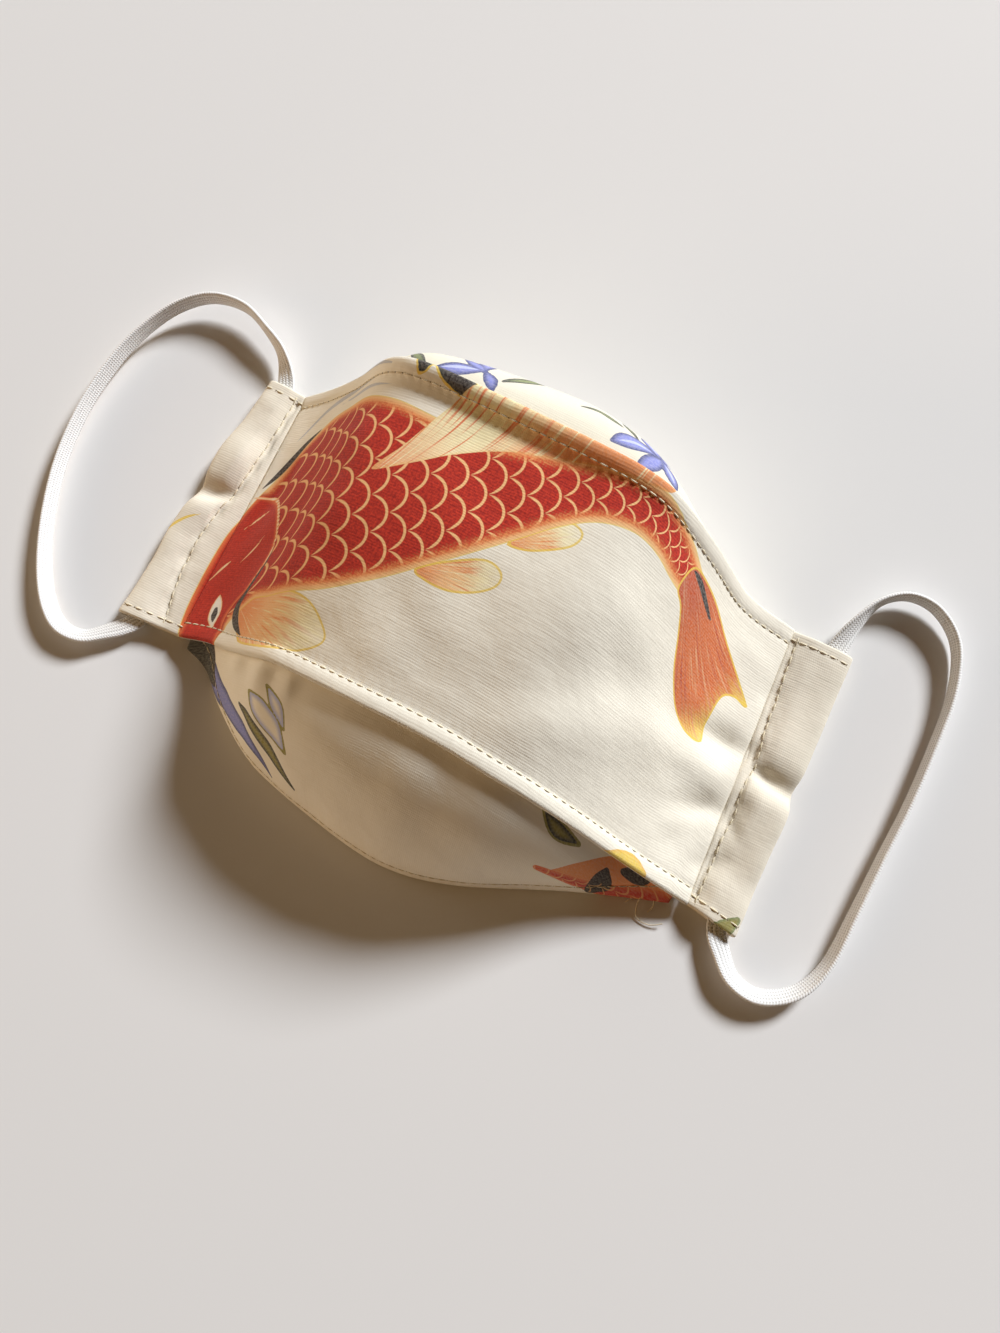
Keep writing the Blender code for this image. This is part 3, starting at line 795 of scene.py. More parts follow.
def paint_ink(tree, below, ink, speckle, depth=0.9):
    """A flat layer of ink whose colour changes from its edge inwards."""
    inside = split(attribute(tree, ink.name))[0]
    colour = mix(tree, ramp(inside, 0.1, depth), ink.edge_colour, ink.colour)
    colour = mix(tree, 0.16 * (1 - speckle), colour, CREAM)
    return mix(tree, ramp(inside, -0.07, 0.07), below, colour)


def draw_inks(piece, inks):
    places = flat_millimetres(piece)
    for ink in inks:
        shape = np.max([stroke(places, points) for points in ink.strokes], axis=0)
        store(piece, ink.name, shape[:, None])
    print(piece.name, "has", len(inks), "inks")


# %% Colours of the print
RED = screen_colour(208, 54, 28)
DEEP_RED = screen_colour(158, 26, 14)
ORANGE = screen_colour(240, 150, 88)
BURNT_ORANGE = screen_colour(232, 118, 66)
TAIL_ORANGE = screen_colour(214, 106, 40)
TAIL_BROWN = screen_colour(188, 74, 32)
OCHRE = screen_colour(248, 196, 136)
YELLOW = screen_colour(240, 206, 90)
PALE_YELLOW = screen_colour(253, 240, 190)
WHITE_INK = screen_colour(250, 244, 232)
BLACK_INK = screen_colour(38, 26, 28)
MIST = screen_colour(196, 198, 204)
LEAF_GREEN = screen_colour(126, 138, 86)
DARK_LEAF = screen_colour(46, 50, 48)
OLIVE = screen_colour(150, 142, 70)
VIOLET = screen_colour(128, 134, 200)
PALE_VIOLET = screen_colour(182, 188, 226)
DARK_BLUE = screen_colour(62, 70, 122)
PETAL_EDGE = screen_colour(238, 190, 88)

# %% The carp's body
BODY = (
    (-80, -46), (-86, -32), (-90, -18), (-92, -4), (-89, 9), (-82, 20), (-70, 27), (-54, 29), (-38, 28.5),
    (-24, 27.5), (-10, 28.5), (4, 32), (16, 35), (28, 36.5), (39, 34), (48, 30), (54, 26), (48, 21.5),
    (41, 22), (34, 24), (26, 24.5), (18, 22), (11, 17), (4, 10), (-4, 2.5), (-13, -5.5), (-24, -14),
    (-36, -21), (-50, -24.5), (-61, -26), (-68, -33), (-70, -46),
)
HEAD = (
    (-98, -46), (-100, -20), (-99, 2), (-90, 5), (-80, 2.5), (-73, -2), (-68, -8.5), (-66.5, -15),
    (-68, -23), (-71, -30), (-70, -46),
)
SPINE = (
    (-110, -30), (-92, -21.5), (-78, -15), (-64, -9), (-50, -3), (-34, 4), (-18, 11.5), (-2, 18.5),
    (13, 25.5), (28, 30), (41, 29), (51, 24), (62, 16),
)
Scale = namedtuple("Scale", "along size stretch")
SCALES = (                    # millimetres along the spine, the size of a scale, and how much longer it is
    Scale(30, 8.8, 1.9), Scale(52, 9.0, 1.8), Scale(68, 9.0, 1.3), Scale(85, 9.0, 1.0), Scale(105, 9.2, 1.0),
    Scale(125, 8.4, 1.0), Scale(145, 6.6, 1.0), Scale(160, 4.8, 1.0), Scale(185, 3.4, 1.0),
)
SPINE_SPACING = 0.5

Fin = namedtuple("Fin", "root reach points")
LOWER_FINS = (
    Fin((-69, -27), 42, ((-67, -25), (-59, -22), (-47, -22.5), (-36, -23), (-29.5, -26.5), (-26.5, -31),
                         (-33, -36), (-45, -38.5), (-58, -37.5), (-65, -31))),
    Fin((-17, -7), 22, ((-14, -6.5), (-7, -1), (0, 2.5), (4.5, 1.2), (4.8, -2), (1, -5.5), (-5, -8),
                        (-11, -8))),
    Fin((0, 7), 18, ((2, 8), (8, 15), (12.5, 19), (16.5, 18), (16, 14.5), (12, 11), (6.5, 8))),
)
DORSAL_FIN = (
    Fin((-42, -4), 74, ((-35, 10.5), (-31, 18), (-28, 25), (-25, 32), (-22, 38), (-14, 44), (2, 45),
                        (18, 44), (28, 41), (30, 37), (16, 34.6), (4, 31.2), (-9, 27), (-18, 22), (-26, 16))),
)
TAIL_FIN = (
    Fin((38, 33), 52, ((46, 29), (53, 29), (62, 27), (71, 23), (79, 18), (85, 12.5), (80.5, 13), (77, 11.5),
                       (75.5, 8), (75, 3), (75, -2.5), (69, -3), (62, 0), (55.5, 6.5), (51, 13.5), (47, 19),
                       (43.5, 22))),
)

# %% Brush strokes on the front
UNDER_CARP = (
    Ink("mist", MIST, MIST, (
        ((-88, 21, 0.1), (-80, 30, 0.7), (-66, 34, 0.9), (-50, 35, 0.2)),
        ((-76, 38, 0.1), (-60, 39, 0.8), (-44, 37.5, 0.2)),
        ((-70, 31, 0.1), (-56, 32.5, 0.6), (-40, 32, 0.1)),
    )),
    Ink("leaf_line", YELLOW, YELLOW, (
        ((-37.5, 44, 2.4), (-35.0, 39.5, 2.3), (-35.2, 36.6, 0.6)),
        ((-32.5, 45, 3.0), (-29.5, 40.5, 3.1), (-26, 38.4, 2.9), (-22.4, 37.0, 2.5), (-19.3, 35.9, 1.5),
         (-17, 35.2, 0.5)),
        ((-103, -5, 0.1), (-106, -8, 0.5), (-108.5, -13, 0.5), (-108, -17, 0.1)),
    )),
    Ink("petal", PETAL_EDGE, YELLOW, (
        ((58, -39.8, 1.2), (62.5, -39.0, 2.6), (67, -38.8, 3.2), (71, -39.2, 1.8)),
    )),
    Ink("leaf_green", LEAF_GREEN, OLIVE, (
        ((94.5, -40.5, 1.0), (97.2, -38.2, 2.2), (99.5, -35, 1.0)),
    )),
    Ink("leaf_dark", DARK_LEAF, BLACK_INK, (
        ((-37.5, 44, 2.0), (-35.0, 39.5, 1.9), (-35.1, 37.2, 0.5)),
        ((-32.2, 45, 2.5), (-29.3, 40.5, 2.7), (-26, 38.6, 2.5), (-22.5, 37.2, 2.0), (-19.5, 36.2, 1.1),
         (-17.6, 35.5, 0.3)),
    )),
)
OVER_CARP = (
    Ink("gill", OCHRE, WHITE_INK, (
        ((-93, 4, 0.2), (-86, 4.5, 0.5), (-79, 2.2, 0.6), (-73, -2, 0.6), (-68, -8.5, 0.5),
         (-66.5, -15, 0.4), (-68.5, -24, 0.2)),
    )),
    Ink("black_marks", BLACK_INK, BLACK_INK, (
        ((-66.3, -10, 0.1), (-65.6, -16, 0.5), (-67.2, -24, 0.9), (-68, -28.5, 1.3), (-64, -33, 1.1),
         (-58, -36, 0.2)),
        ((-91.5, 7, 0.1), (-88, 13, 1.0), (-82, 21, 0.9), (-76, 25, 0.1)),
        ((46.5, 28.3, 0.3), (50, 27.4, 0.9), (55, 25.2, 0.8), (60, 23.2, 0.5)),
    )),
    Ink("pale_marks", OCHRE, WHITE_INK, (
        ((-88, -6, 0.1), (-84.5, -1.5, 0.5), (-82, 0.5, 0.1)),
        ((-80, -16, 0.1), (-77, -11, 0.4), (-75.5, -7.5, 0.1)),
        ((-87, -22, 0.1), (-85, -17.5, 0.5), (-83, -15, 0.1)),
        ((-79.6, -25.6, 0.2), (-78, -28.6, 1.6), (-76, -32, 1.9), (-74.4, -35.4, 0.3)),
    )),
    Ink("eye", BLACK_INK, BLACK_INK, (
        ((-77.8, -29.0, 0.2), (-76.4, -31.4, 1.0), (-75.3, -33.4, 0.3)),
    )),
)


# %% Drawing the carp
def draw_fins(places, fins):
    """The inside of a set of fins, with each place's angle about its fin's root and share of its reach."""
    best = np.full(len(places), -99.0)
    angle, share = np.zeros((2, len(places)))
    for fin in fins:
        shape = outline(places, fin.points)
        x, y = (places - fin.root).T
        nearer = shape > best
        best = np.where(nearer, shape, best)
        angle = np.where(nearer, np.arctan2(y, x), angle)
        share = np.where(nearer, np.hypot(x, y) / fin.reach, share)
    return np.stack([best, angle, share], axis=1)


def scale_places(places):
    """Places counted in scales: along the spine and across it."""
    line = smooth_route(SPINE, SPINE_SPACING)
    heading = unit(np.gradient(line, axis=0))
    along = running_length(line, 0)
    row_along, row_size, row_stretch = np.array(SCALES).T
    size = np.interp(along, row_along, row_size)
    pitch = size * np.interp(along, row_along, row_stretch)
    counted = np.insert(np.cumsum(np.diff(along) / pitch[1:]), 0, 0.0)
    offset = places[:, None] - line
    near = np.linalg.norm(offset, axis=-1).argmin(axis=1)
    offset = offset[np.arange(len(places)), near]
    forward = (offset * heading[near]).sum(-1)
    sideways = heading[near, 0] * offset[:, 1] - heading[near, 1] * offset[:, 0]
    return np.stack([counted[near] + forward / pitch[near], sideways / size[near]], axis=1)


def draw_carp(piece):
    draw_inks(piece, UNDER_CARP + OVER_CARP)
    places = flat_millimetres(piece)
    body, head = outline(places, BODY), outline(places, HEAD)
    store(piece, "carp", np.stack([body, np.minimum(body, head)], axis=1))
    store(piece, "scales", scale_places(places))
    for name, fins in (("lower_fins", LOWER_FINS), ("dorsal_fin", DORSAL_FIN), ("tail_fin", TAIL_FIN)):
        store(piece, name, draw_fins(places, fins))


# %% Painting the carp
SCALE_LINE = 0.034            # half the line's width in the middle of a scale, as a share of the scale
SCALE_REACH = 0.49            # how far the arc stands from the middle of its scale
RAY_CHANGE = 2.2              # how much the rays change from root to tip


def paint_fins(tree, below, name, colours, speckle, rays, cover, back_colour=None, tip_from=0.55, curl=0.0,
               pale=0.8, edge=0.8):
    """A fin: its colour changes from root to tip, with fine rays and a thin yellow outline."""
    inside, angle, share = split(attribute(tree, name))
    root_colour, middle_colour, tip_colour, ray_colour = colours
    ray_place = (angle + share * share * curl) * rays
    streaks = add_node(tree, "ShaderNodeCombineXYZ", 0, X=ray_place, Y=share * RAY_CHANGE)
    fine = noise(streaks, 1.0, 3.0)
    reach = share + (fine - 0.5) * 0.5
    colour = mix(tree, ramp(reach, 0.15, 0.55), root_colour, middle_colour)
    colour = mix(tree, ramp(reach, tip_from, (tip_from + 1.2) / 2), colour, tip_colour)
    if back_colour:
        colour = mix(tree, ramp(angle + (fine - 0.5) * 0.3, 0.85, 0.62), colour, back_colour)
    colour = mix(tree, ramp(fine, 0.52, 0.66) * (1 - ramp(share, 0.6, 1.05)), colour, ray_colour)
    colour = mix(tree, ramp(fine, 0.44, 0.34) * pale, colour, PALE_YELLOW)
    colour = mix(tree, (1 - speckle) * 0.14, colour, CREAM)
    faded = ramp(inside, -0.1, 0.15) * (1 - ramp(reach, 0.75, 1.15) * (1 - cover))
    painted = mix(tree, faded, below, colour)
    line = ramp(inside, -0.1, 0.02) * ramp(inside, 0.6, 0.4)
    return mix(tree, line * edge, painted, YELLOW)


def scale_lines(tree):
    """Rows of arcs, each row half a scale on from the last, thick in the middle and fine at the ends."""
    along, across, _ = split(attribute(tree, "scales"))
    column = calculate("FRACT", along * 2) * 0.5
    odd = calculate("MODULO", calculate("FLOOR", along * 2), 2.0)
    offset = calculate("FRACT", across + odd * 0.5) - 0.5
    distance = calculate("SQRT", column * column + offset * offset)
    taper = ramp(column / distance, 0.0, 0.6)
    half_line = taper * SCALE_LINE
    gap = calculate("ABSOLUTE", distance - SCALE_REACH + half_line)
    return ramp(gap - half_line, 0.018, -0.012) * ramp(taper, 0.0, 0.12)


def paint_front(tree, ground, speckle):
    colour = ground
    for ink in UNDER_CARP:
        colour = paint_ink(tree, colour, ink, speckle)
    colour = paint_fins(tree, colour, "lower_fins", (ORANGE, OCHRE, PALE_YELLOW, ORANGE), speckle,
                        rays=26, cover=0.25)
    body, head, _ = split(attribute(tree, "carp"))
    red = mix(tree, speckle, DEEP_RED, RED)
    scaled_red = mix(tree, scale_lines(tree) * ramp(body, 0.8, 2.4) * ramp(head, 0.0, -0.8), red, OCHRE)
    edge = ramp(body + (speckle - 0.5) * 1.6, 3.6, 0.6) * ramp(head, 0.4, -2.0)
    scaled_red = mix(tree, edge, scaled_red, mix(tree, ramp(body, 0.3, 1.8), OCHRE, ORANGE))
    head_red = mix(tree, ramp(head, 0.1, 1.7), BURNT_ORANGE, mix(tree, 0.35, red, RED))
    fish = mix(tree, ramp(head, -0.12, 0.12), scaled_red, head_red)
    colour = mix(tree, ramp(body, -0.32, -0.22) * 0.75, colour, YELLOW)
    colour = mix(tree, ramp(body, -0.06, 0.06), colour, fish)
    colour = paint_fins(tree, colour, "dorsal_fin", (ORANGE, PALE_YELLOW, OCHRE, BURNT_ORANGE), speckle,
                        rays=46, cover=1.0, back_colour=ORANGE, curl=-0.45, edge=0.15)
    colour = paint_fins(tree, colour, "tail_fin", (TAIL_BROWN, TAIL_ORANGE, YELLOW, TAIL_BROWN), speckle,
                        rays=50, cover=0.9, tip_from=0.78, pale=0.25)
    for ink in OVER_CARP:
        colour = paint_ink(tree, colour, ink, speckle, depth=0.5)
    return colour


# %% [markdown]
# ## Front panel
# The middle surface gets what a solid model leaves out: the cloth dips along the row of machine stitches,
# puckers a little between it and the edge, and is nowhere quite even. All of that fades before the long
# edges, where the nose and chin panels lie against it. At the right seam small hollows run on into the
# casing.

# %% Front panel
COLUMNS = 250
FRONT_ROWS = 110
STITCH_INSET = 0.0034         # from the folded edge to the row of stitches
STITCH_PITCH = 0.0026
STITCH_DIP = 0.00022
DIP_WIDTH = 0.0009
PUCKER = 0.00007
PUCKER_WIDTH = 0.0016
UNEVEN = 0.00020              # how far the cloth strays from its smooth form
UNEVEN_LENGTH = 0.021
SEAM_LIFT = 0.00025           # brings the front level with the casings along their seams
Dimple = namedtuple("Dimple", "y reach width depth")
SEAM_DIMPLES = (              # small hollows at the right seam, where the stitches pull
    Dimple(0.0035, 0.0030, 0.0030, 0.0010),
    Dimple(-0.0045, 0.0050, 0.0040, -0.0005),
    Dimple(-0.0130, 0.0035, 0.0028, 0.0009),
    Dimple(-0.0270, 0.0030, 0.0030, 0.0007),
    Dimple(0.0200, 0.0030, 0.0035, 0.0005),
)


def dimple_depth(y, from_seam):
    return sum(d.depth * bell((y - d.y) / d.width) * bell(from_seam / d.reach) for d in SEAM_DIMPLES)


def edge_thickness(distance, edge):
    return edge + (CLOTH - edge) * ease(distance / HEM_BAND)


def stitch_relief(distance, along_edge):
    """How far the cloth sinks near a row of stitches: a dip at the row and puckers at their pitch."""
    row = bell((distance - STITCH_INSET) / DIP_WIDTH)
    pull = bell((distance - STITCH_INSET) / PUCKER_WIDTH) * np.sin(2 * math.pi * along_edge / STITCH_PITCH)
    return STITCH_DIP * row + PUCKER * pull


front_cotton = cotton("front cotton", CREAM, paint_front)
along, row = np.meshgrid(np.linspace(-1, 1, COLUMNS), np.linspace(0, 1, FRONT_ROWS), indexing="ij")
across = 0.5 - 0.5 * np.cos(math.pi * row)
front_middle = front_place(along, across)
front_middle[..., 0] *= 1 + (SEAM_REACH - 1) * np.abs(along) ** 8
u, v = running_length(front_middle, 0), running_length(front_middle, 1)
edge_distance = np.minimum(v, v[:, -1:] - v)
off_hem = ease(edge_distance / HEM_BAND)
clear_of_edges = ease((edge_distance - HEM_BAND) / HEM_BAND) * ease((1 - np.abs(along)) / 0.06)
relief = UNEVEN * ripples(u, v, UNEVEN_LENGTH, seed=3) * clear_of_edges - stitch_relief(edge_distance, u)
front_middle = front_middle + normals_of(front_middle) * relief[..., None]
front_middle[..., 2] -= dimple_depth(front_middle[..., 1], (1 - along) * HALF_PANEL) * off_hem
front_middle[..., 2] += SEAM_LIFT * np.abs(along) ** 20 * off_hem
flat_u, flat_v = u - u[COLUMNS // 2], v - v[:, FRONT_ROWS // 2][:, None]
seam_on_flat = {-1: (flat_v[0], flat_u[0]), 1: (flat_v[-1], flat_u[-1])}
front_thickness = edge_thickness(edge_distance, FOLDED_EDGE)
front_cloth, front_face = double_cloth("front_cloth", front_middle, 1, front_thickness, front_cotton,
                                       zero_row=FRONT_ROWS // 2)
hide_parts("front_panel")
draw_carp(front_cloth)

# %% [markdown]
# ## Nose and chin panels
# These two crescents start under the front panel's long edges, fold over and drop to the table in a round
# section. At the middle the section is nearly a quarter of an ellipse, and towards the ends the panel lies
# down flat. The chin panel is eased into the seam, so small gathers run down from its left end.

# %% Sprays on the nose and chin panels
NOSE_INKS = (
    Ink("leaves", DARK_LEAF, LEAF_GREEN, (
        ((-17.5, 6, 0.4), (-14.5, 12, 1.8), (-12.5, 20, 1.9), (-12, 30, 0.6)),
        ((1, 12, 0.3), (5, 16, 1.5), (9, 14.5, 1.5), (12, 13, 0.3)),
        ((10.5, 21, 0.3), (13, 16.5, 1.3), (16.5, 11, 0.4)),
        ((-44, 8, 0.3), (-40, 4, 1.6), (-36, 1, 0.6)),
        ((-50, 30, 0.3), (-46, 24, 1.7), (-42, 20, 0.4)),
    )),
    Ink("petals", DARK_BLUE, VIOLET, (
        ((-33, 1, 0.5), (-28, 4, 2.4), (-23, 7, 0.6)),
        ((-30, 12, 0.4), (-26, 9, 2.2), (-22.5, 7, 0.6)),
        ((-18, 1.5, 0.3), (-20, 4.5, 1.8), (-22.5, 7, 0.6)),
        ((-25, 20, 0.4), (-24.5, 14, 2.2), (-23, 8, 0.6)),
        ((12, 4, 0.5), (16, 7.5, 3.2), (22, 9, 0.8)),
        ((20, 1, 0.5), (22.5, 4.5, 2.6), (24, 9, 0.8)),
        ((31, 3, 0.4), (28, 6, 2.4), (24.5, 9, 0.8)),
        ((17, 18, 0.5), (20, 14.5, 3.0), (23, 10, 0.8)),
        ((28, 19, 0.5), (27, 14.5, 2.8), (24, 10, 0.8)),
    )),
    Ink("petal_veins", PALE_VIOLET, PALE_VIOLET, (
        ((-32, 2, 0.1), (-28, 4.4, 0.6), (-24, 6.6, 0.1)),
        ((13, 5, 0.1), (17, 7.8, 0.6), (21, 8.8, 0.1)),
        ((30, 4, 0.1), (27.5, 6.6, 0.6), (25, 8.6, 0.1)),
        ((18, 17, 0.1), (20.5, 14, 0.6), (22.5, 11, 0.1)),
    )),
)
CHIN_INKS = (
    Ink("olive_line", OLIVE, OLIVE, (
        ((-42, 10, 0.4), (-37, 13, 2.6), (-31, 17, 2.7), (-25.5, 22.5, 0.5)),
        ((-37, 7, 0.3), (-31.5, 11, 1.9), (-27.5, 16, 0.4)),
        ((37, 1, 0.6), (43, 3.5, 2.4), (50, 3.5, 0.7)),
    )),
    Ink("petals", PALE_VIOLET, CREAM, (
        ((-41, 10.5, 0.2), (-37, 13, 2.2), (-31, 17, 2.3), (-26.5, 21.5, 0.3)),
        ((-36, 7.6, 0.1), (-31.5, 11, 1.5), (-28, 15.3, 0.2)),
    )),
    Ink("long_leaves", DARK_BLUE, VIOLET, (
        ((-70, 6, 2.2), (-56, 14.5, 3.2), (-44, 21, 2.8), (-34, 29, 1.2), (-29, 36, 0.2)),
    )),
    Ink("olive_leaf", DARK_LEAF, OLIVE, (
        ((-45, 14, 0.3), (-38, 18.5, 1.4), (-30, 25, 1.7), (-21, 34, 0.3)),
        ((38, 1.5, 0.3), (43, 3.5, 1.8), (49, 3.5, 0.3)),
    )),
    Ink("dark_leaf", BLACK_INK, DARK_LEAF, (
        ((-86, -4, 3.0), (-77, 2, 4.2), (-68, 8, 3.2), (-61, 13, 0.4)),
    )),
    Ink("second_carp", ORANGE, ORANGE, (
        ((46, 16, 1.2), (54, 11, 3.8), (63, 7, 6.0), (74, 3, 6.0), (84, -1, 3.0)),
    )),
    Ink("second_back", BURNT_ORANGE, RED, (
        ((42, 16.5, 1.0), (52, 15, 2.0), (62, 12.5, 3.0), (74, 7, 3.6), (84, 2, 2.4)),
    )),
    Ink("black_marks", BLACK_INK, BLACK_INK, (
        ((61, 5, 0.8), (60.5, 9, 2.8), (58.5, 13, 2.0), (57.5, 16.5, 1.0)),
        ((66, 3, 1.0), (70, 2.2, 2.2), (74, 0.5, 0.8)),
    )),
)
SECOND_SCALE = 5.6            # millimetres from scale to scale


def paint_inks(tree, ground, speckle, inks):
    colour = ground
    for ink in inks:
        colour = paint_ink(tree, colour, ink, speckle, depth=1.6)
    return colour


def paint_nose(tree, ground, speckle):
    return paint_inks(tree, ground, speckle, NOSE_INKS)


def paint_chin(tree, ground, speckle):
    colour = paint_inks(tree, ground, speckle, CHIN_INKS)
    back = split(attribute(tree, "second_back"))[0]
    return mix(tree, scale_lines(tree) * ramp(back, -0.4, 0.6) * 0.7, colour, OCHRE)


# %% Nose and chin panels
TUCK = 0.0050
EDGE_INSET = 0.0007
HEM_REACH = 0.0255            # how far the widest part of a hem lies out from the casings' ends
NOSE_FULLNESS = 2.0
CHIN_FULLNESS = 1.7
PANEL_END = 0.0022
GATHER_DEPTH = 0.0011
GATHER_START = 0.16
GATHER_FALL = 0.40
TUCK_ROWS = 8
DROP_ROWS = 72
SLOPE_STEP = 0.002
HEM_STITCH_INSET = 0.0050
Gather = namedtuple("Gather", "along width depth")
GATHERS = (
    Gather(-0.69, 0.030, -1.0),
    Gather(-0.62, 0.030, 0.9),
    Gather(-0.55, 0.030, -1.0),
    Gather(-0.48, 0.030, 0.8),
    Gather(-0.41, 0.030, -0.8),
)


def front_normal(along, across):
    width_way = front_place(along + SLOPE_STEP, across) - front_place(along - SLOPE_STEP, across)
    height_way = front_place(along, across + SLOPE_STEP) - front_place(along, across - SLOPE_STEP)
    return unit(np.cross(width_way, height_way))


def under_front(along, across):
    """The middle of a cloth that lies against the underside of the front panel."""
    chin_y, _, nose_y, _ = edge_lines(along)
    distance = np.minimum(across, 1 - across) * (nose_y - chin_y)
    depth = edge_thickness(distance, FOLDED_EDGE) / 2 + GAP + CLOTH / 2
    return front_place(along, across) - front_normal(along, across) * depth[..., None]


def gather_depth(along):
    return sum(g.depth * GATHER_DEPTH * bell((along - g.along) / g.width) for g in GATHERS)


def side_place(along, down, toward_nose):
    """The nose or chin panel: down is -1 where it starts, 0 at its fold under the edge and 1 at its hem."""
    chin_y, _, nose_y, _ = edge_lines(along)
    inset = (EDGE_INSET + TUCK * np.maximum(-down, 0)) / (nose_y - chin_y)
    tucked = under_front(along, 1 - inset if toward_nose else inset)
    sign = 1 if toward_nose else -1
    reach = HEM_REACH * read_section(along, "nose_hem" if toward_nose else "chin_hem")
    hem_y = sign * np.maximum(HALF_SIDE + reach, sign * tucked[..., 1] + CLOTH)
    standing = ease((tucked[..., 2] - END_LEVEL) / STANDING_HEIGHT)
    power = 2 / (1 + ((NOSE_FULLNESS if toward_nose else CHIN_FULLNESS) - 1) * standing)
    angle = np.maximum(down, 0) * math.pi / 2
    hem_z = HEM / 2               # the rolled hem touches the table
    y = tucked[..., 1] + (hem_y - tucked[..., 1]) * np.sin(angle) ** power
    z = hem_z + (tucked[..., 2] - hem_z) * np.maximum(np.cos(angle), 0.0) ** power
    if not toward_nose:
        fade = ease(np.maximum(down, 0) / GATHER_START) * (1 - ease(down / GATHER_FALL))
        y = y + np.sin(angle) * gather_depth(along) * fade
        z = z - np.cos(angle) * gather_depth(along) * fade
    y, z = np.where(down <= 0, tucked[..., 1], y), np.where(down <= 0, tucked[..., 2], z)
    return np.stack([tucked[..., 0], y, z], axis=-1)


def make_side_panel(name, toward_nose, finish, seed):
    down = np.concatenate([np.linspace(-1, 0, TUCK_ROWS, endpoint=False), np.linspace(0, 1, DROP_ROWS)])
    ends = 1 - PANEL_END / HALF_PANEL
    along, down = np.meshgrid(np.linspace(-ends, ends, COLUMNS), down, indexing="ij")
    middle = side_place(along, down, toward_nose)
    outside = 1 if toward_nose else -1
    v = running_length(middle, 1)
    u = running_length(middle, 0)
    to_hem = v[:, -1:] - v
    fold = v[:, TUCK_ROWS][:, None]
    free = ease((v - fold) / 0.010) * ease(to_hem / 0.008) * ease((1 - np.abs(along)) / 0.1)
    dip = STITCH_DIP * bell((to_hem - HEM_STITCH_INSET) / DIP_WIDTH) * ease((1 - np.abs(along)) / 0.2)
    relief = UNEVEN * ripples(u, v, UNEVEN_LENGTH, seed) * free - dip
    middle = middle + normals_of(middle) * outside * relief[..., None]
    thickness = edge_thickness(to_hem, HEM)
    piece, face = double_cloth(name, middle, outside, thickness, finish, zero_row=TUCK_ROWS)
    return piece, face, middle


# painted shade: the nose panel's ground is a darker copy of the front's cream
nose_cotton = cotton("nose cotton", NOSE_SHADE_CREAM, paint_nose)
chin_cotton = cotton("chin cotton", CREAM, paint_chin)
nose_cloth, nose_face, nose_middle = make_side_panel("nose_cloth", True, nose_cotton, seed=5)
chin_cloth, chin_face, chin_middle = make_side_panel("chin_cloth", False, chin_cotton, seed=8)
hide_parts("nose_panel")
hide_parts("chin_panel")
draw_inks(nose_cloth, NOSE_INKS)
draw_inks(chin_cloth, CHIN_INKS)
store(chin_cloth, "scales", flat_millimetres(chin_cloth) @ [[0.9, -0.4], [0.4, 0.9]] / SECOND_SCALE)

# %% [markdown]
# ## Side casings
# At each side the cloth is folded back into a flat tunnel for the elastic. Its section is flat on the table,
# round at the outer fold and square at the seam. Small tables hold the dents that the elastic has pulled into
# it, the folds on its top, and the row of stitches, which holds both layers down a little way in. The print
# runs on over the tunnel, because its flat places continue the front's. A tunnel is open at both ends, so its
# loft runs the other way from the panels': each ring goes along the outside, round the mouth, back along the
# inside and round the other mouth, and the path of rings goes once round the tunnel and closes on itself.

# %% Casings
CASING_HEIGHT = 0.0052
CASING_SEAM_HEIGHT = 0.0040
CASING_FLAT_SHARE = 0.9
FOLD_SWELL = 0.0028
FOLD_SKEW = 0.0014
CASING_FOLD_DEPTH = 0.0016
CASING_AROUND = 88
CASING_ALONG = 130
MOUTH_STEPS = 5
Dent = namedtuple("Dent", "at spread depth swell")
Fold = namedtuple("Fold", "at out spread width height tilt")
LEFT_FOLDS = (                # places as shares of the length and width, heights in metres
    Fold(0.035, 0.55, 0.030, 0.60, -0.00110, 0.06),
    Fold(0.170, 0.45, 0.080, 0.35, 0.00090, 0.00),
    Fold(0.310, 0.30, 0.040, 0.40, -0.00040, 0.05),
    Fold(-0.050, 0.50, 0.045, 0.45, 0.00050, 0.04),
    Fold(-0.170, 0.60, 0.050, 0.40, -0.00030, -0.10),
    Fold(0.420, 0.60, 0.035, 0.30, 0.00035, 0.00),
)
RIGHT_FOLDS = (
    Fold(0.000, 0.45, 0.026, 0.65, -0.00115, 0.03),
    Fold(-0.070, 0.40, 0.050, 0.45, 0.00075, 0.00),
    Fold(-0.200, 0.15, 0.035, 0.30, -0.00060, 0.10),
    Fold(-0.330, 0.20, 0.040, 0.35, -0.00050, -0.08),
    Fold(0.100, 0.50, 0.060, 0.50, 0.00035, 0.00),
    Fold(0.300, 0.35, 0.070, 0.40, -0.00030, 0.00),
)
CASING_UNEVEN = 0.00014
CASING_UNEVEN_LENGTH = 0.012
TUNNEL_RISE = 0.35            # from the row of stitches to full height, as a share of the width
PUFF_START, PUFF_RISE = -0.05, 0.15
TOP_EDGE = 0.4                # where the folds fade, down the section's sides
MOUTH_FADE = 0.1              # and towards the mouths
SEAM_PULL = 0.00016           # small puckers along the seam
SEAM_PULL_PITCH = 0.0075
SEAM_PULL_WIDTH = 0.12        # as a share of the casing's width
SEAM_PULL_WANDER = 0.03
SEAM_RISE = 0.0021            # up the casing's edge to its top
SEAM_DIP = 0.00045            # how deep the row of stitches pulls the cloth in
SEAM_DIP_WIDTH = 0.05         # as a share of the casing's width
SEAM_CORNER = 0.28            # the section's roundness at the seam, less than at the fold
FOLD_CORNER = 0.5
SeamPoint = namedtuple("SeamPoint", "share inset")
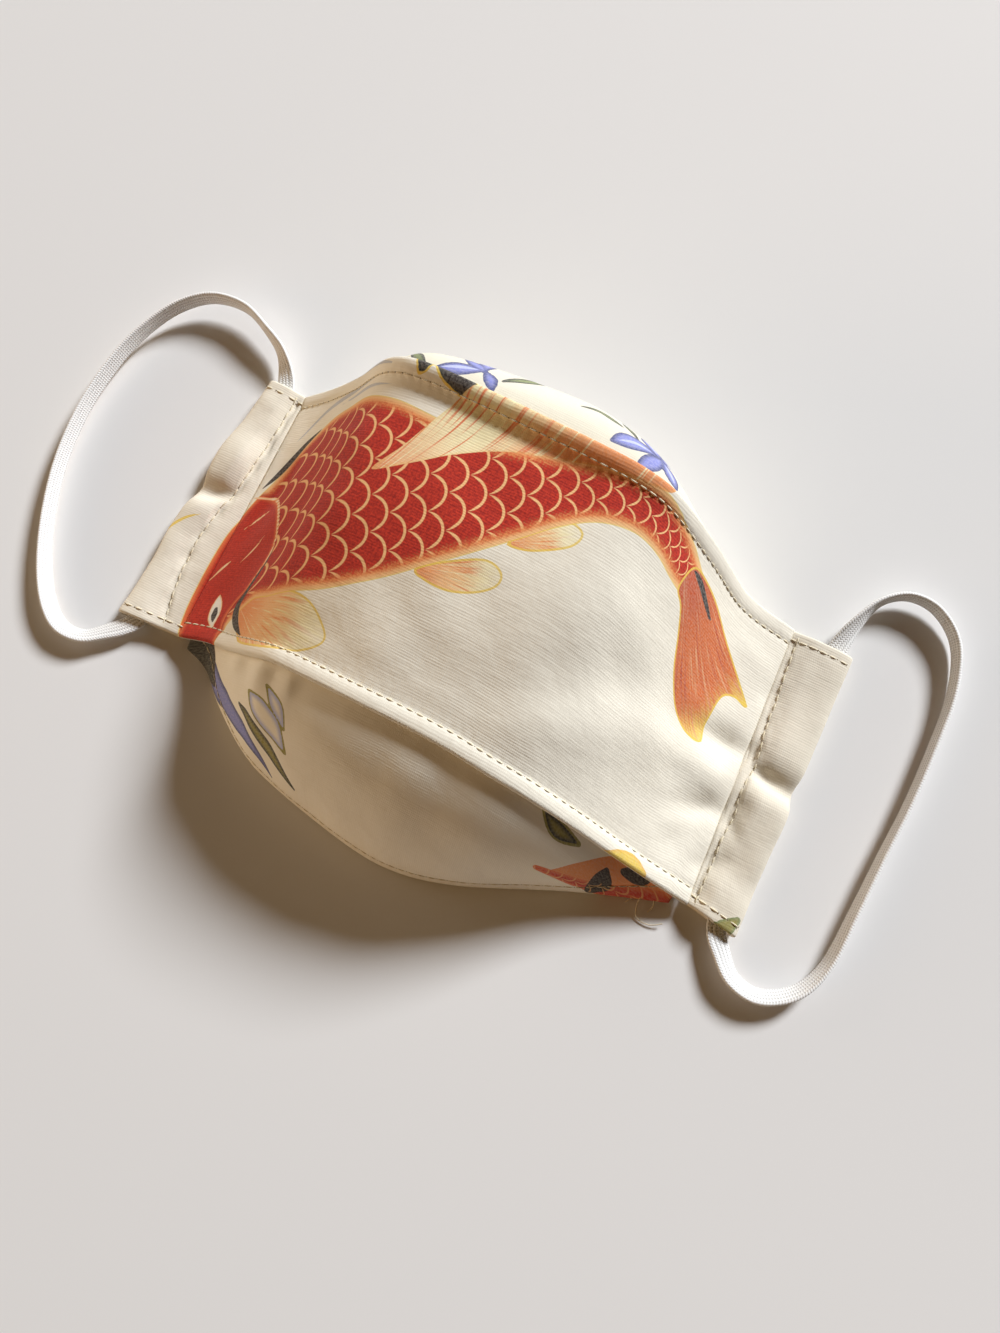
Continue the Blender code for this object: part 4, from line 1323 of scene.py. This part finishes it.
LEFT_SEAM = (                 # the row of stitches, in from the casing's edge
    SeamPoint(-1.00, 0.0046), SeamPoint(-0.80, 0.0062), SeamPoint(-0.55, 0.0076), SeamPoint(-0.30, 0.0078),
    SeamPoint(-0.08, 0.0067), SeamPoint(0.10, 0.0050), SeamPoint(0.50, 0.0032), SeamPoint(1.00, 0.0020),
)
RIGHT_SEAM = (
    SeamPoint(-1.00, 0.0010), SeamPoint(-0.75, 0.0012), SeamPoint(-0.30, 0.0022), SeamPoint(-0.08, 0.0027),
    SeamPoint(0.15, 0.0024), SeamPoint(0.60, 0.0014), SeamPoint(1.00, 0.0012),
)
LEFT_DENTS = (
    Dent(0.03, 0.045, 1.00, -0.15),
    Dent(0.18, 0.130, -0.60, 0.40),
    Dent(-0.13, 0.120, 0.10, 0.45),
    Dent(-0.34, 0.120, 0.35, 0.00),
)
RIGHT_DENTS = (
    Dent(0.00, 0.045, 1.00, -0.25),
    Dent(-0.12, 0.070, -0.45, 0.10),
    Dent(-0.34, 0.060, 0.40, 0.00),
    Dent(0.30, 0.150, 0.20, 0.00),
)


def casing_section(angle):
    """A flat section with round corners, -1 at the seam to 1 at the fold, and its height from -1 to 1."""
    corner = np.where(np.cos(angle) < 0, SEAM_CORNER, FOLD_CORNER)
    across = np.sign(np.cos(angle)) * np.abs(np.cos(angle)) ** corner
    return across, np.sign(np.sin(angle)) * np.abs(np.sin(angle)) ** corner


def even_angles(count):
    """Angles that give points at even spacing round the section."""
    fine = np.linspace(0, 2 * math.pi, 100 * count)
    across, up = casing_section(fine)
    way = running_length(np.stack([across * CASING_WIDTH / 2, up * CASING_HEIGHT / 2], axis=-1), 0)
    return np.interp((np.arange(count) + 0.5) / count * way[-1], way, fine)


def seam_share(share, seam):
    """How far in the row of stitches lies, as a share of the casing's width."""
    return np.interp(share, [point.share for point in seam], [point.inset for point in seam]) / CASING_WIDTH


def casing_face(share, angle, side, seam_skew, dents, seam):
    """The casing's outer face: share is -1 at the chin end and 1 at the nose end, angle goes round."""
    bells = [bell((share / 2 - dent.at) / dent.spread) for dent in dents]
    sag = CASING_FOLD_DEPTH * sum(dent.depth * amount for dent, amount in zip(dents, bells))
    swell = FOLD_SWELL * sum(dent.swell * amount for dent, amount in zip(dents, bells))
    fold_x = MASK_WIDTH / 2 - FOLD_SKEW * share + swell
    seam_x = MASK_WIDTH / 2 - CASING_WIDTH + seam_skew * share
    across, up = casing_section(angle)
    out = (1 + across) / 2
    tunnel = ease((out - seam_share(share, seam)) / TUNNEL_RISE)
    top = CASING_SEAM_HEIGHT + (CASING_HEIGHT - sag - CASING_SEAM_HEIGHT) * tunnel
    level = np.maximum(up + CASING_FLAT_SHARE, 0) / (1 + CASING_FLAT_SHARE)
    x = side * (seam_x + (fold_x - seam_x) * out)
    bow = CHIN_BOW * read_section(np.array([float(side)]), "chin_bow") * (1 - out) * ((1 - share) / 2) ** 3
    return np.stack([x, share * HALF_SIDE + bow, top * level], axis=-1)


def fold_relief(share, out, folds):
    total = 0
    for fold in folds:
        along = share / 2 - fold.at + fold.tilt * (out - fold.out)
        total = total + fold.height * bell(along / fold.spread) * bell((out - fold.out) / fold.width)
    return total


def make_casing(name, side, seam_skew, dents, folds, seam, finish, seed):
    angle, share = np.meshgrid(even_angles(CASING_AROUND), np.linspace(-1, 1, CASING_ALONG), indexing="ij")
    face = casing_face(share, angle, side, seam_skew, dents, seam)
    tangent = np.roll(face, -1, axis=0) - np.roll(face, 1, axis=0)
    outward = unit(np.cross(tangent, np.gradient(face, axis=1))) * -side
    round_way = running_length(face, 0)
    on_top = ease(np.sin(angle) / TOP_EDGE) * ease((1 - np.abs(share)) / MOUTH_FADE)
    out = (1 + casing_section(angle)[0]) / 2
    from_stitches = out - seam_share(share, seam)
    wander = 2 * ripples(face[..., 1], out, SEAM_PULL_WANDER, seed)
    pulls = np.sin(2 * math.pi * face[..., 1] / SEAM_PULL_PITCH + wander)
    puffed = ease((from_stitches - PUFF_START) / PUFF_RISE)
    relief = (CASING_UNEVEN * ripples(round_way, face[..., 1], CASING_UNEVEN_LENGTH, seed)
              + fold_relief(share, out, folds) * puffed
              + SEAM_PULL * pulls * bell(from_stitches / SEAM_PULL_WIDTH) * ease(out / SEAM_PULL_WIDTH)
              - SEAM_DIP * bell(from_stitches / SEAM_DIP_WIDTH)) * on_top
    if side > 0:
        relief = relief - dimple_depth(face[..., 1], out * CASING_WIDTH) * on_top
    face = face + outward * relief[..., None]
    inner = face - outward * CLOTH
    turn = (math.pi * (np.arange(MOUTH_STEPS) + 1) / (MOUTH_STEPS + 1))[None, :, None]

    def mouth(column, sign):
        centre = (face[:, column] + inner[:, column])[:, None] / 2
        out_of_mouth = np.array([0.0, sign, 0.0])
        off_cloth = outward[:, column][:, None]
        return centre + CLOTH / 2 * (np.cos(turn) * off_cloth + np.sin(turn) * out_of_mouth)

    rings = np.concatenate([face, mouth(-1, 1), inner[:, ::-1], mouth(0, -1)[:, ::-1]], axis=1)
    piece = loft(name, rings, finish, closed_path=True)
    lengths = np.concatenate([face[..., 1], np.tile(HALF_SIDE, (CASING_AROUND, MOUTH_STEPS)),
                              face[:, ::-1, 1], np.tile(-HALF_SIDE, (CASING_AROUND, MOUTH_STEPS))], axis=1)
    seam_way = round_way[CASING_AROUND // 2, :1]
    off_seam = np.where(angle[:, :1] < math.pi, seam_way, seam_way + round_way[-1, :1]) - round_way[:, :1]
    end_v, end_u = seam_on_flat[side]
    rounds = np.interp(lengths, end_v, end_u) + side * (off_seam - SEAM_RISE)
    outside = np.ones(rings.shape[:2])
    outside[:, CASING_ALONG + MOUTH_STEPS:2 * CASING_ALONG + MOUTH_STEPS] = 0
    store(piece, "cloth", np.stack([rounds, lengths, outside], axis=-1).reshape(-1, 3))
    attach(piece, "root")
    return piece, face, (face + inner) / 2


# painted shade: the casing cotton has a darker ground than the front cotton, though it is the same cloth
casing_cotton = cotton("casing cotton", CASING_SHADE_CREAM, paint_front)
left_casing, left_face, left_middle = make_casing(
    "left_casing_cloth", -1, LEFT_SEAM_SKEW, LEFT_DENTS, LEFT_FOLDS, LEFT_SEAM, casing_cotton, seed=11)
right_casing, right_face, right_middle = make_casing(
    "right_casing_cloth", 1, RIGHT_SEAM_SKEW, RIGHT_DENTS, RIGHT_FOLDS, RIGHT_SEAM, casing_cotton, seed=12)
draw_carp(left_casing)
draw_carp(right_casing)
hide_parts("left_casing")
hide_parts("right_casing")

# %% [markdown]
# ## Machine stitches
# A lockstitch is one short thread after another, each dipping into the cloth at both ends, with a small
# needle hole between them, shown as a flat bead painted dark: painted shade. That is a shape that repeats
# along a path, so Geometry Nodes make it: the path is cut to the stitch pitch, one bent thread and one
# flat bead of painted shade stand on every point, with their length along the path and their back to the
# cloth's outside. The paths are lines on the panels' own faces, a set distance
# from an edge, and each of their points knows the way out of the cloth. The result is kept as a plain mesh
# and the modifier is taken off.

# %% Sewing thread
THREAD_WIDTH = 0.00042
HEM_THREAD_WIDTH = 0.00034
STITCH_LENGTH = 0.0021
FIBRE_SCALE, FIBRE_HEIGHT = 5200, 0.00006
# painted shade: the needle hole is shown as a dark flat bead
HOLE_WIDTH = 0.45             # the dark needle hole's radius, as a share of the thread's width
HOLE_FLATNESS = 0.45


def sewing_thread(name, colour, shade):
    finish = plain_finish(name, colour, 0.7)
    tree = finish.node_tree
    shader = tree.nodes["Principled BSDF"]
    place = add_node(tree, "ShaderNodeTexCoord", "Object")
    fibre = noise(place, FIBRE_SCALE, 3.0)
    plug(mix(tree, ramp(fibre, 0.3, 0.7), shade, colour), shader.inputs["Base Color"])
    plug(add_node(tree, "ShaderNodeBump", 0, Height=fibre, Distance=FIBRE_HEIGHT, Strength=0.8),
         shader.inputs["Normal"])
    return finish


thread = sewing_thread("sewing thread", screen_colour(240, 230, 204), screen_colour(206, 192, 160))
# painted shade: a dark brown that stands in for the shade inside each needle hole
needle_shade = sewing_thread("needle hole shade", screen_colour(150, 136, 110), screen_colour(116, 102, 80))


# %% The stitch tree
def make_stitch_tree():
    tree = bpy.data.node_groups.new("machine stitches", "GeometryNodeTree")
    sockets = {}
    for name, kind, value in (
            ("Path", "Geometry", None), ("Pitch", "Float", STITCH_PITCH),
            ("Stitch Length", "Float", STITCH_LENGTH), ("Thread Width", "Float", THREAD_WIDTH),
            ("Seed", "Int", 1), ("Thread", "Material", None), ("Shade", "Material", None)):
        socket = tree.interface.new_socket(name, in_out="INPUT", socket_type="NodeSocket" + kind)
        if value is not None:
            socket.default_value = value
        sockets[name] = socket.identifier
    tree.interface.new_socket("Stitches", in_out="OUTPUT", socket_type="NodeSocketGeometry")
    given = tree.nodes.new("NodeGroupInput")
    path, pitch, length, width, seed, finish, shade = [Wire(tree, given.outputs[name]) for name in sockets]

    curve = add_node(tree, "GeometryNodeMeshToCurve", 0, Mesh=path)
    points = add_node(tree, "GeometryNodeResampleCurve", 0, {"mode": "LENGTH"}, Curve=curve, Length=pitch)
    half, depth = length * 0.5, width * -0.5
    thread_line = add_node(
        tree, "GeometryNodeCurveQuadraticBezier", 0, Resolution=6,
        Start=add_node(tree, "ShaderNodeCombineXYZ", 0, X=half * -1.0, Z=depth),
        Middle=add_node(tree, "ShaderNodeCombineXYZ", 0, Z=width * 0.9),
        End=add_node(tree, "ShaderNodeCombineXYZ", 0, X=half, Z=depth))
    section = add_node(tree, "GeometryNodeCurvePrimitiveCircle", 0, Resolution=8, Radius=width * 0.5)
    bent = add_node(tree, "GeometryNodeCurveToMesh", 0, Curve=thread_line, Profile_Curve=section,
                    Fill_Caps=True)
    # the flat bead is painted shade for the needle hole
    bead = add_node(tree, "GeometryNodeMeshUVSphere", 0, Segments=8, Rings=5, Radius=width * HOLE_WIDTH)
    hole = add_node(tree, "GeometryNodeTransform", 0, Geometry=bead, Scale=(1.0, 1.0, HOLE_FLATNESS),
                    Translation=add_node(tree, "ShaderNodeCombineXYZ", 0, X=pitch * -0.5))
    marked_hole = add_node(tree, "GeometryNodeStoreNamedAttribute", 0, {"data_type": "BOOLEAN"},
                           Geometry=hole, Name="hole", Value=True)
    shape = tree.nodes.new("GeometryNodeJoinGeometry")
    for mesh in (marked_hole, bent):
        plug(mesh, shape.inputs[0])
    shape = Wire(tree, shape.outputs[0])

    along = add_node(tree, "FunctionNodeAlignRotationToVector", 0, {"axis": "X"},
                     Vector=add_node(tree, "GeometryNodeInputTangent"))
    out = add_node(tree, "GeometryNodeInputNamedAttribute", 0, {"data_type": "FLOAT_VECTOR"}, Name="out")
    upright = add_node(tree, "FunctionNodeAlignRotationToVector", 0, {"axis": "Z", "pivot_axis": "X"},
                       Rotation=along, Vector=out)
    size = tree.nodes.new("FunctionNodeRandomValue")
    size.data_type = "FLOAT"
    for slot in size.inputs:
        if slot.type == "VALUE" and slot.name in ("Min", "Max"):
            slot.default_value = 0.9 if slot.name == "Min" else 1.08
    plug(seed, size.inputs["Seed"])
    sewn = add_node(tree, "GeometryNodeInstanceOnPoints", 0, Points=points, Instance=shape,
                    Rotation=upright, Scale=Wire(tree, size.outputs[1]))
    real = add_node(tree, "GeometryNodeRealizeInstances", 0, Geometry=sewn)
    all_thread = add_node(tree, "GeometryNodeSetMaterial", 0, Geometry=real, Material=finish)
    in_hole = add_node(tree, "GeometryNodeInputNamedAttribute", 0, {"data_type": "BOOLEAN"}, Name="hole")
    finished = add_node(tree, "GeometryNodeSetMaterial", 0, Geometry=all_thread, Selection=in_hole,
                        Material=shade)
    plug(finished, tree.nodes.new("NodeGroupOutput").inputs[0])
    return tree, sockets


stitch_tree, stitch_sockets = make_stitch_tree()


# %% Sewing
def row_on_face(face, inset, from_end):
    """A line on a face of (columns, rows, 3) points, some way in from its first or last row."""
    out = normals_of(face)
    out = out * np.sign(out[..., 2].mean())
    row = []
    steps = np.broadcast_to(inset, len(face))
    for line, normal, length, step in zip(face, out, running_length(face, 1), steps):
        at = length[-1] - step if from_end else step
        row.append([np.interp(at, length, column) for column in (*line.T, *normal.T)])
    row = np.array(row)
    return row[:, :3], unit(row[:, 3:])


def sew(name, rows, seed, width=THREAD_WIDTH):
    counts = [len(points) for points, _ in rows]
    starts = np.cumsum([0, *counts[:-1]])
    edges = [(start + i, start + i + 1) for start, count in zip(starts, counts) for i in range(count - 1)]
    path = bpy.data.meshes.new(name)
    path.from_pydata(np.concatenate([points for points, _ in rows]).tolist(), edges, [])
    piece = bpy.data.objects.new(name, path)
    scene.collection.objects.link(piece)
    store(piece, "out", np.concatenate([out for _, out in rows]))
    modifier = piece.modifiers.new("stitches", "NODES")
    modifier.node_group = stitch_tree
    for socket, value in (("Pitch", STITCH_PITCH), ("Stitch Length", STITCH_LENGTH), ("Thread Width", width),
                          ("Seed", seed), ("Thread", thread), ("Shade", needle_shade)):
        modifier[stitch_sockets[socket]] = value
    sewn = bpy.data.meshes.new_from_object(piece.evaluated_get(bpy.context.evaluated_depsgraph_get()))
    piece.modifiers.clear()
    piece.data = sewn
    sewn.shade_smooth()
    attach(piece, "root")
    print(name, len(sewn.polygons), "faces")


def inside_ends(row, first, last):
    """A row without its first and last few points, which would hang out over the cloth's ends."""
    return row[0][first:-last], row[1][first:-last]


MOUTH_INSET = 0.0020
long_rows = [inside_ends(row_on_face(front_face, STITCH_INSET, end), 2, 2) for end in (False, True)]
sew("front_stitches", long_rows, seed=21)
for name, face, slot, seed in (("nose_stitches", nose_face, "nose_cotton", 22),
                               ("chin_stitches", chin_face, "chin_cotton", 23)):
    hem_row = inside_ends(row_on_face(face, HEM_STITCH_INSET, True), 8, 8)
    sew(name, [hem_row], seed, width=HEM_THREAD_WIDTH)
for name, face, seam_points, seed in (("left_casing_stitches", left_face, LEFT_SEAM, 24),
                                      ("right_casing_stitches", right_face, RIGHT_SEAM, 25)):
    top = face[:CASING_AROUND // 2]
    insets = SEAM_RISE + CASING_WIDTH * seam_share(np.linspace(-1, 1, CASING_ALONG), seam_points)
    seam = inside_ends(row_on_face(top.transpose(1, 0, 2), insets, True), 3, 3)
    mouths = [inside_ends(row_on_face(top, MOUTH_INSET, end), 8, 6) for end in (False, True)]
    sew(name, [seam, *mouths], seed)

# %% [markdown]
# ## Loose threads
# Where the chin panel ends under the right side of the front, a few cut threads stick out. Each is a thin
# tube on a smooth curve through a few points, and all of them are one mesh.

# %% Loose threads
TAIL_WIDTH = 0.00028
TailPoint = namedtuple("TailPoint", "x y z")
TAIL_SPACING = 0.0004
TAILS = (
    (TailPoint(0.0640, -0.0385, 0.0020), TailPoint(0.0652, -0.0412, 0.0010),
     TailPoint(0.0640, -0.0436, 0.0003)),
    (TailPoint(0.0672, -0.0385, 0.0022), TailPoint(0.0668, -0.0425, 0.0012),
     TailPoint(0.0682, -0.0456, 0.0004), TailPoint(0.0716, -0.0458, 0.0004),
     TailPoint(0.0745, -0.0440, 0.0010)),
    (TailPoint(0.0690, -0.0380, 0.0020), TailPoint(0.0706, -0.0410, 0.0008),
     TailPoint(0.0700, -0.0432, 0.0003)),
)
tails = bpy.data.curves.new("loose_threads", "CURVE")
tails.dimensions, tails.bevel_depth, tails.bevel_resolution = "3D", TAIL_WIDTH / 2, 2
tails.use_fill_caps = True
for tail in TAILS:
    line = smooth_route(tail, TAIL_SPACING)
    spline = tails.splines.new("POLY")
    spline.points.add(len(line) - 1)
    spline.points.foreach_set("co", np.column_stack([line, np.ones(len(line))]).ravel())
drawn = bpy.data.objects.new("drawn threads", tails)
scene.collection.objects.link(drawn)
tail_mesh = bpy.data.meshes.new_from_object(drawn.evaluated_get(bpy.context.evaluated_depsgraph_get()))
bpy.data.objects.remove(drawn)
tail_mesh.shade_smooth()
tail_mesh.materials.append(thread)
loose_threads = bpy.data.objects.new("loose_threads", tail_mesh)
scene.collection.objects.link(loose_threads)
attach(loose_threads, "root")
print("loose threads:", len(tail_mesh.polygons), "faces")
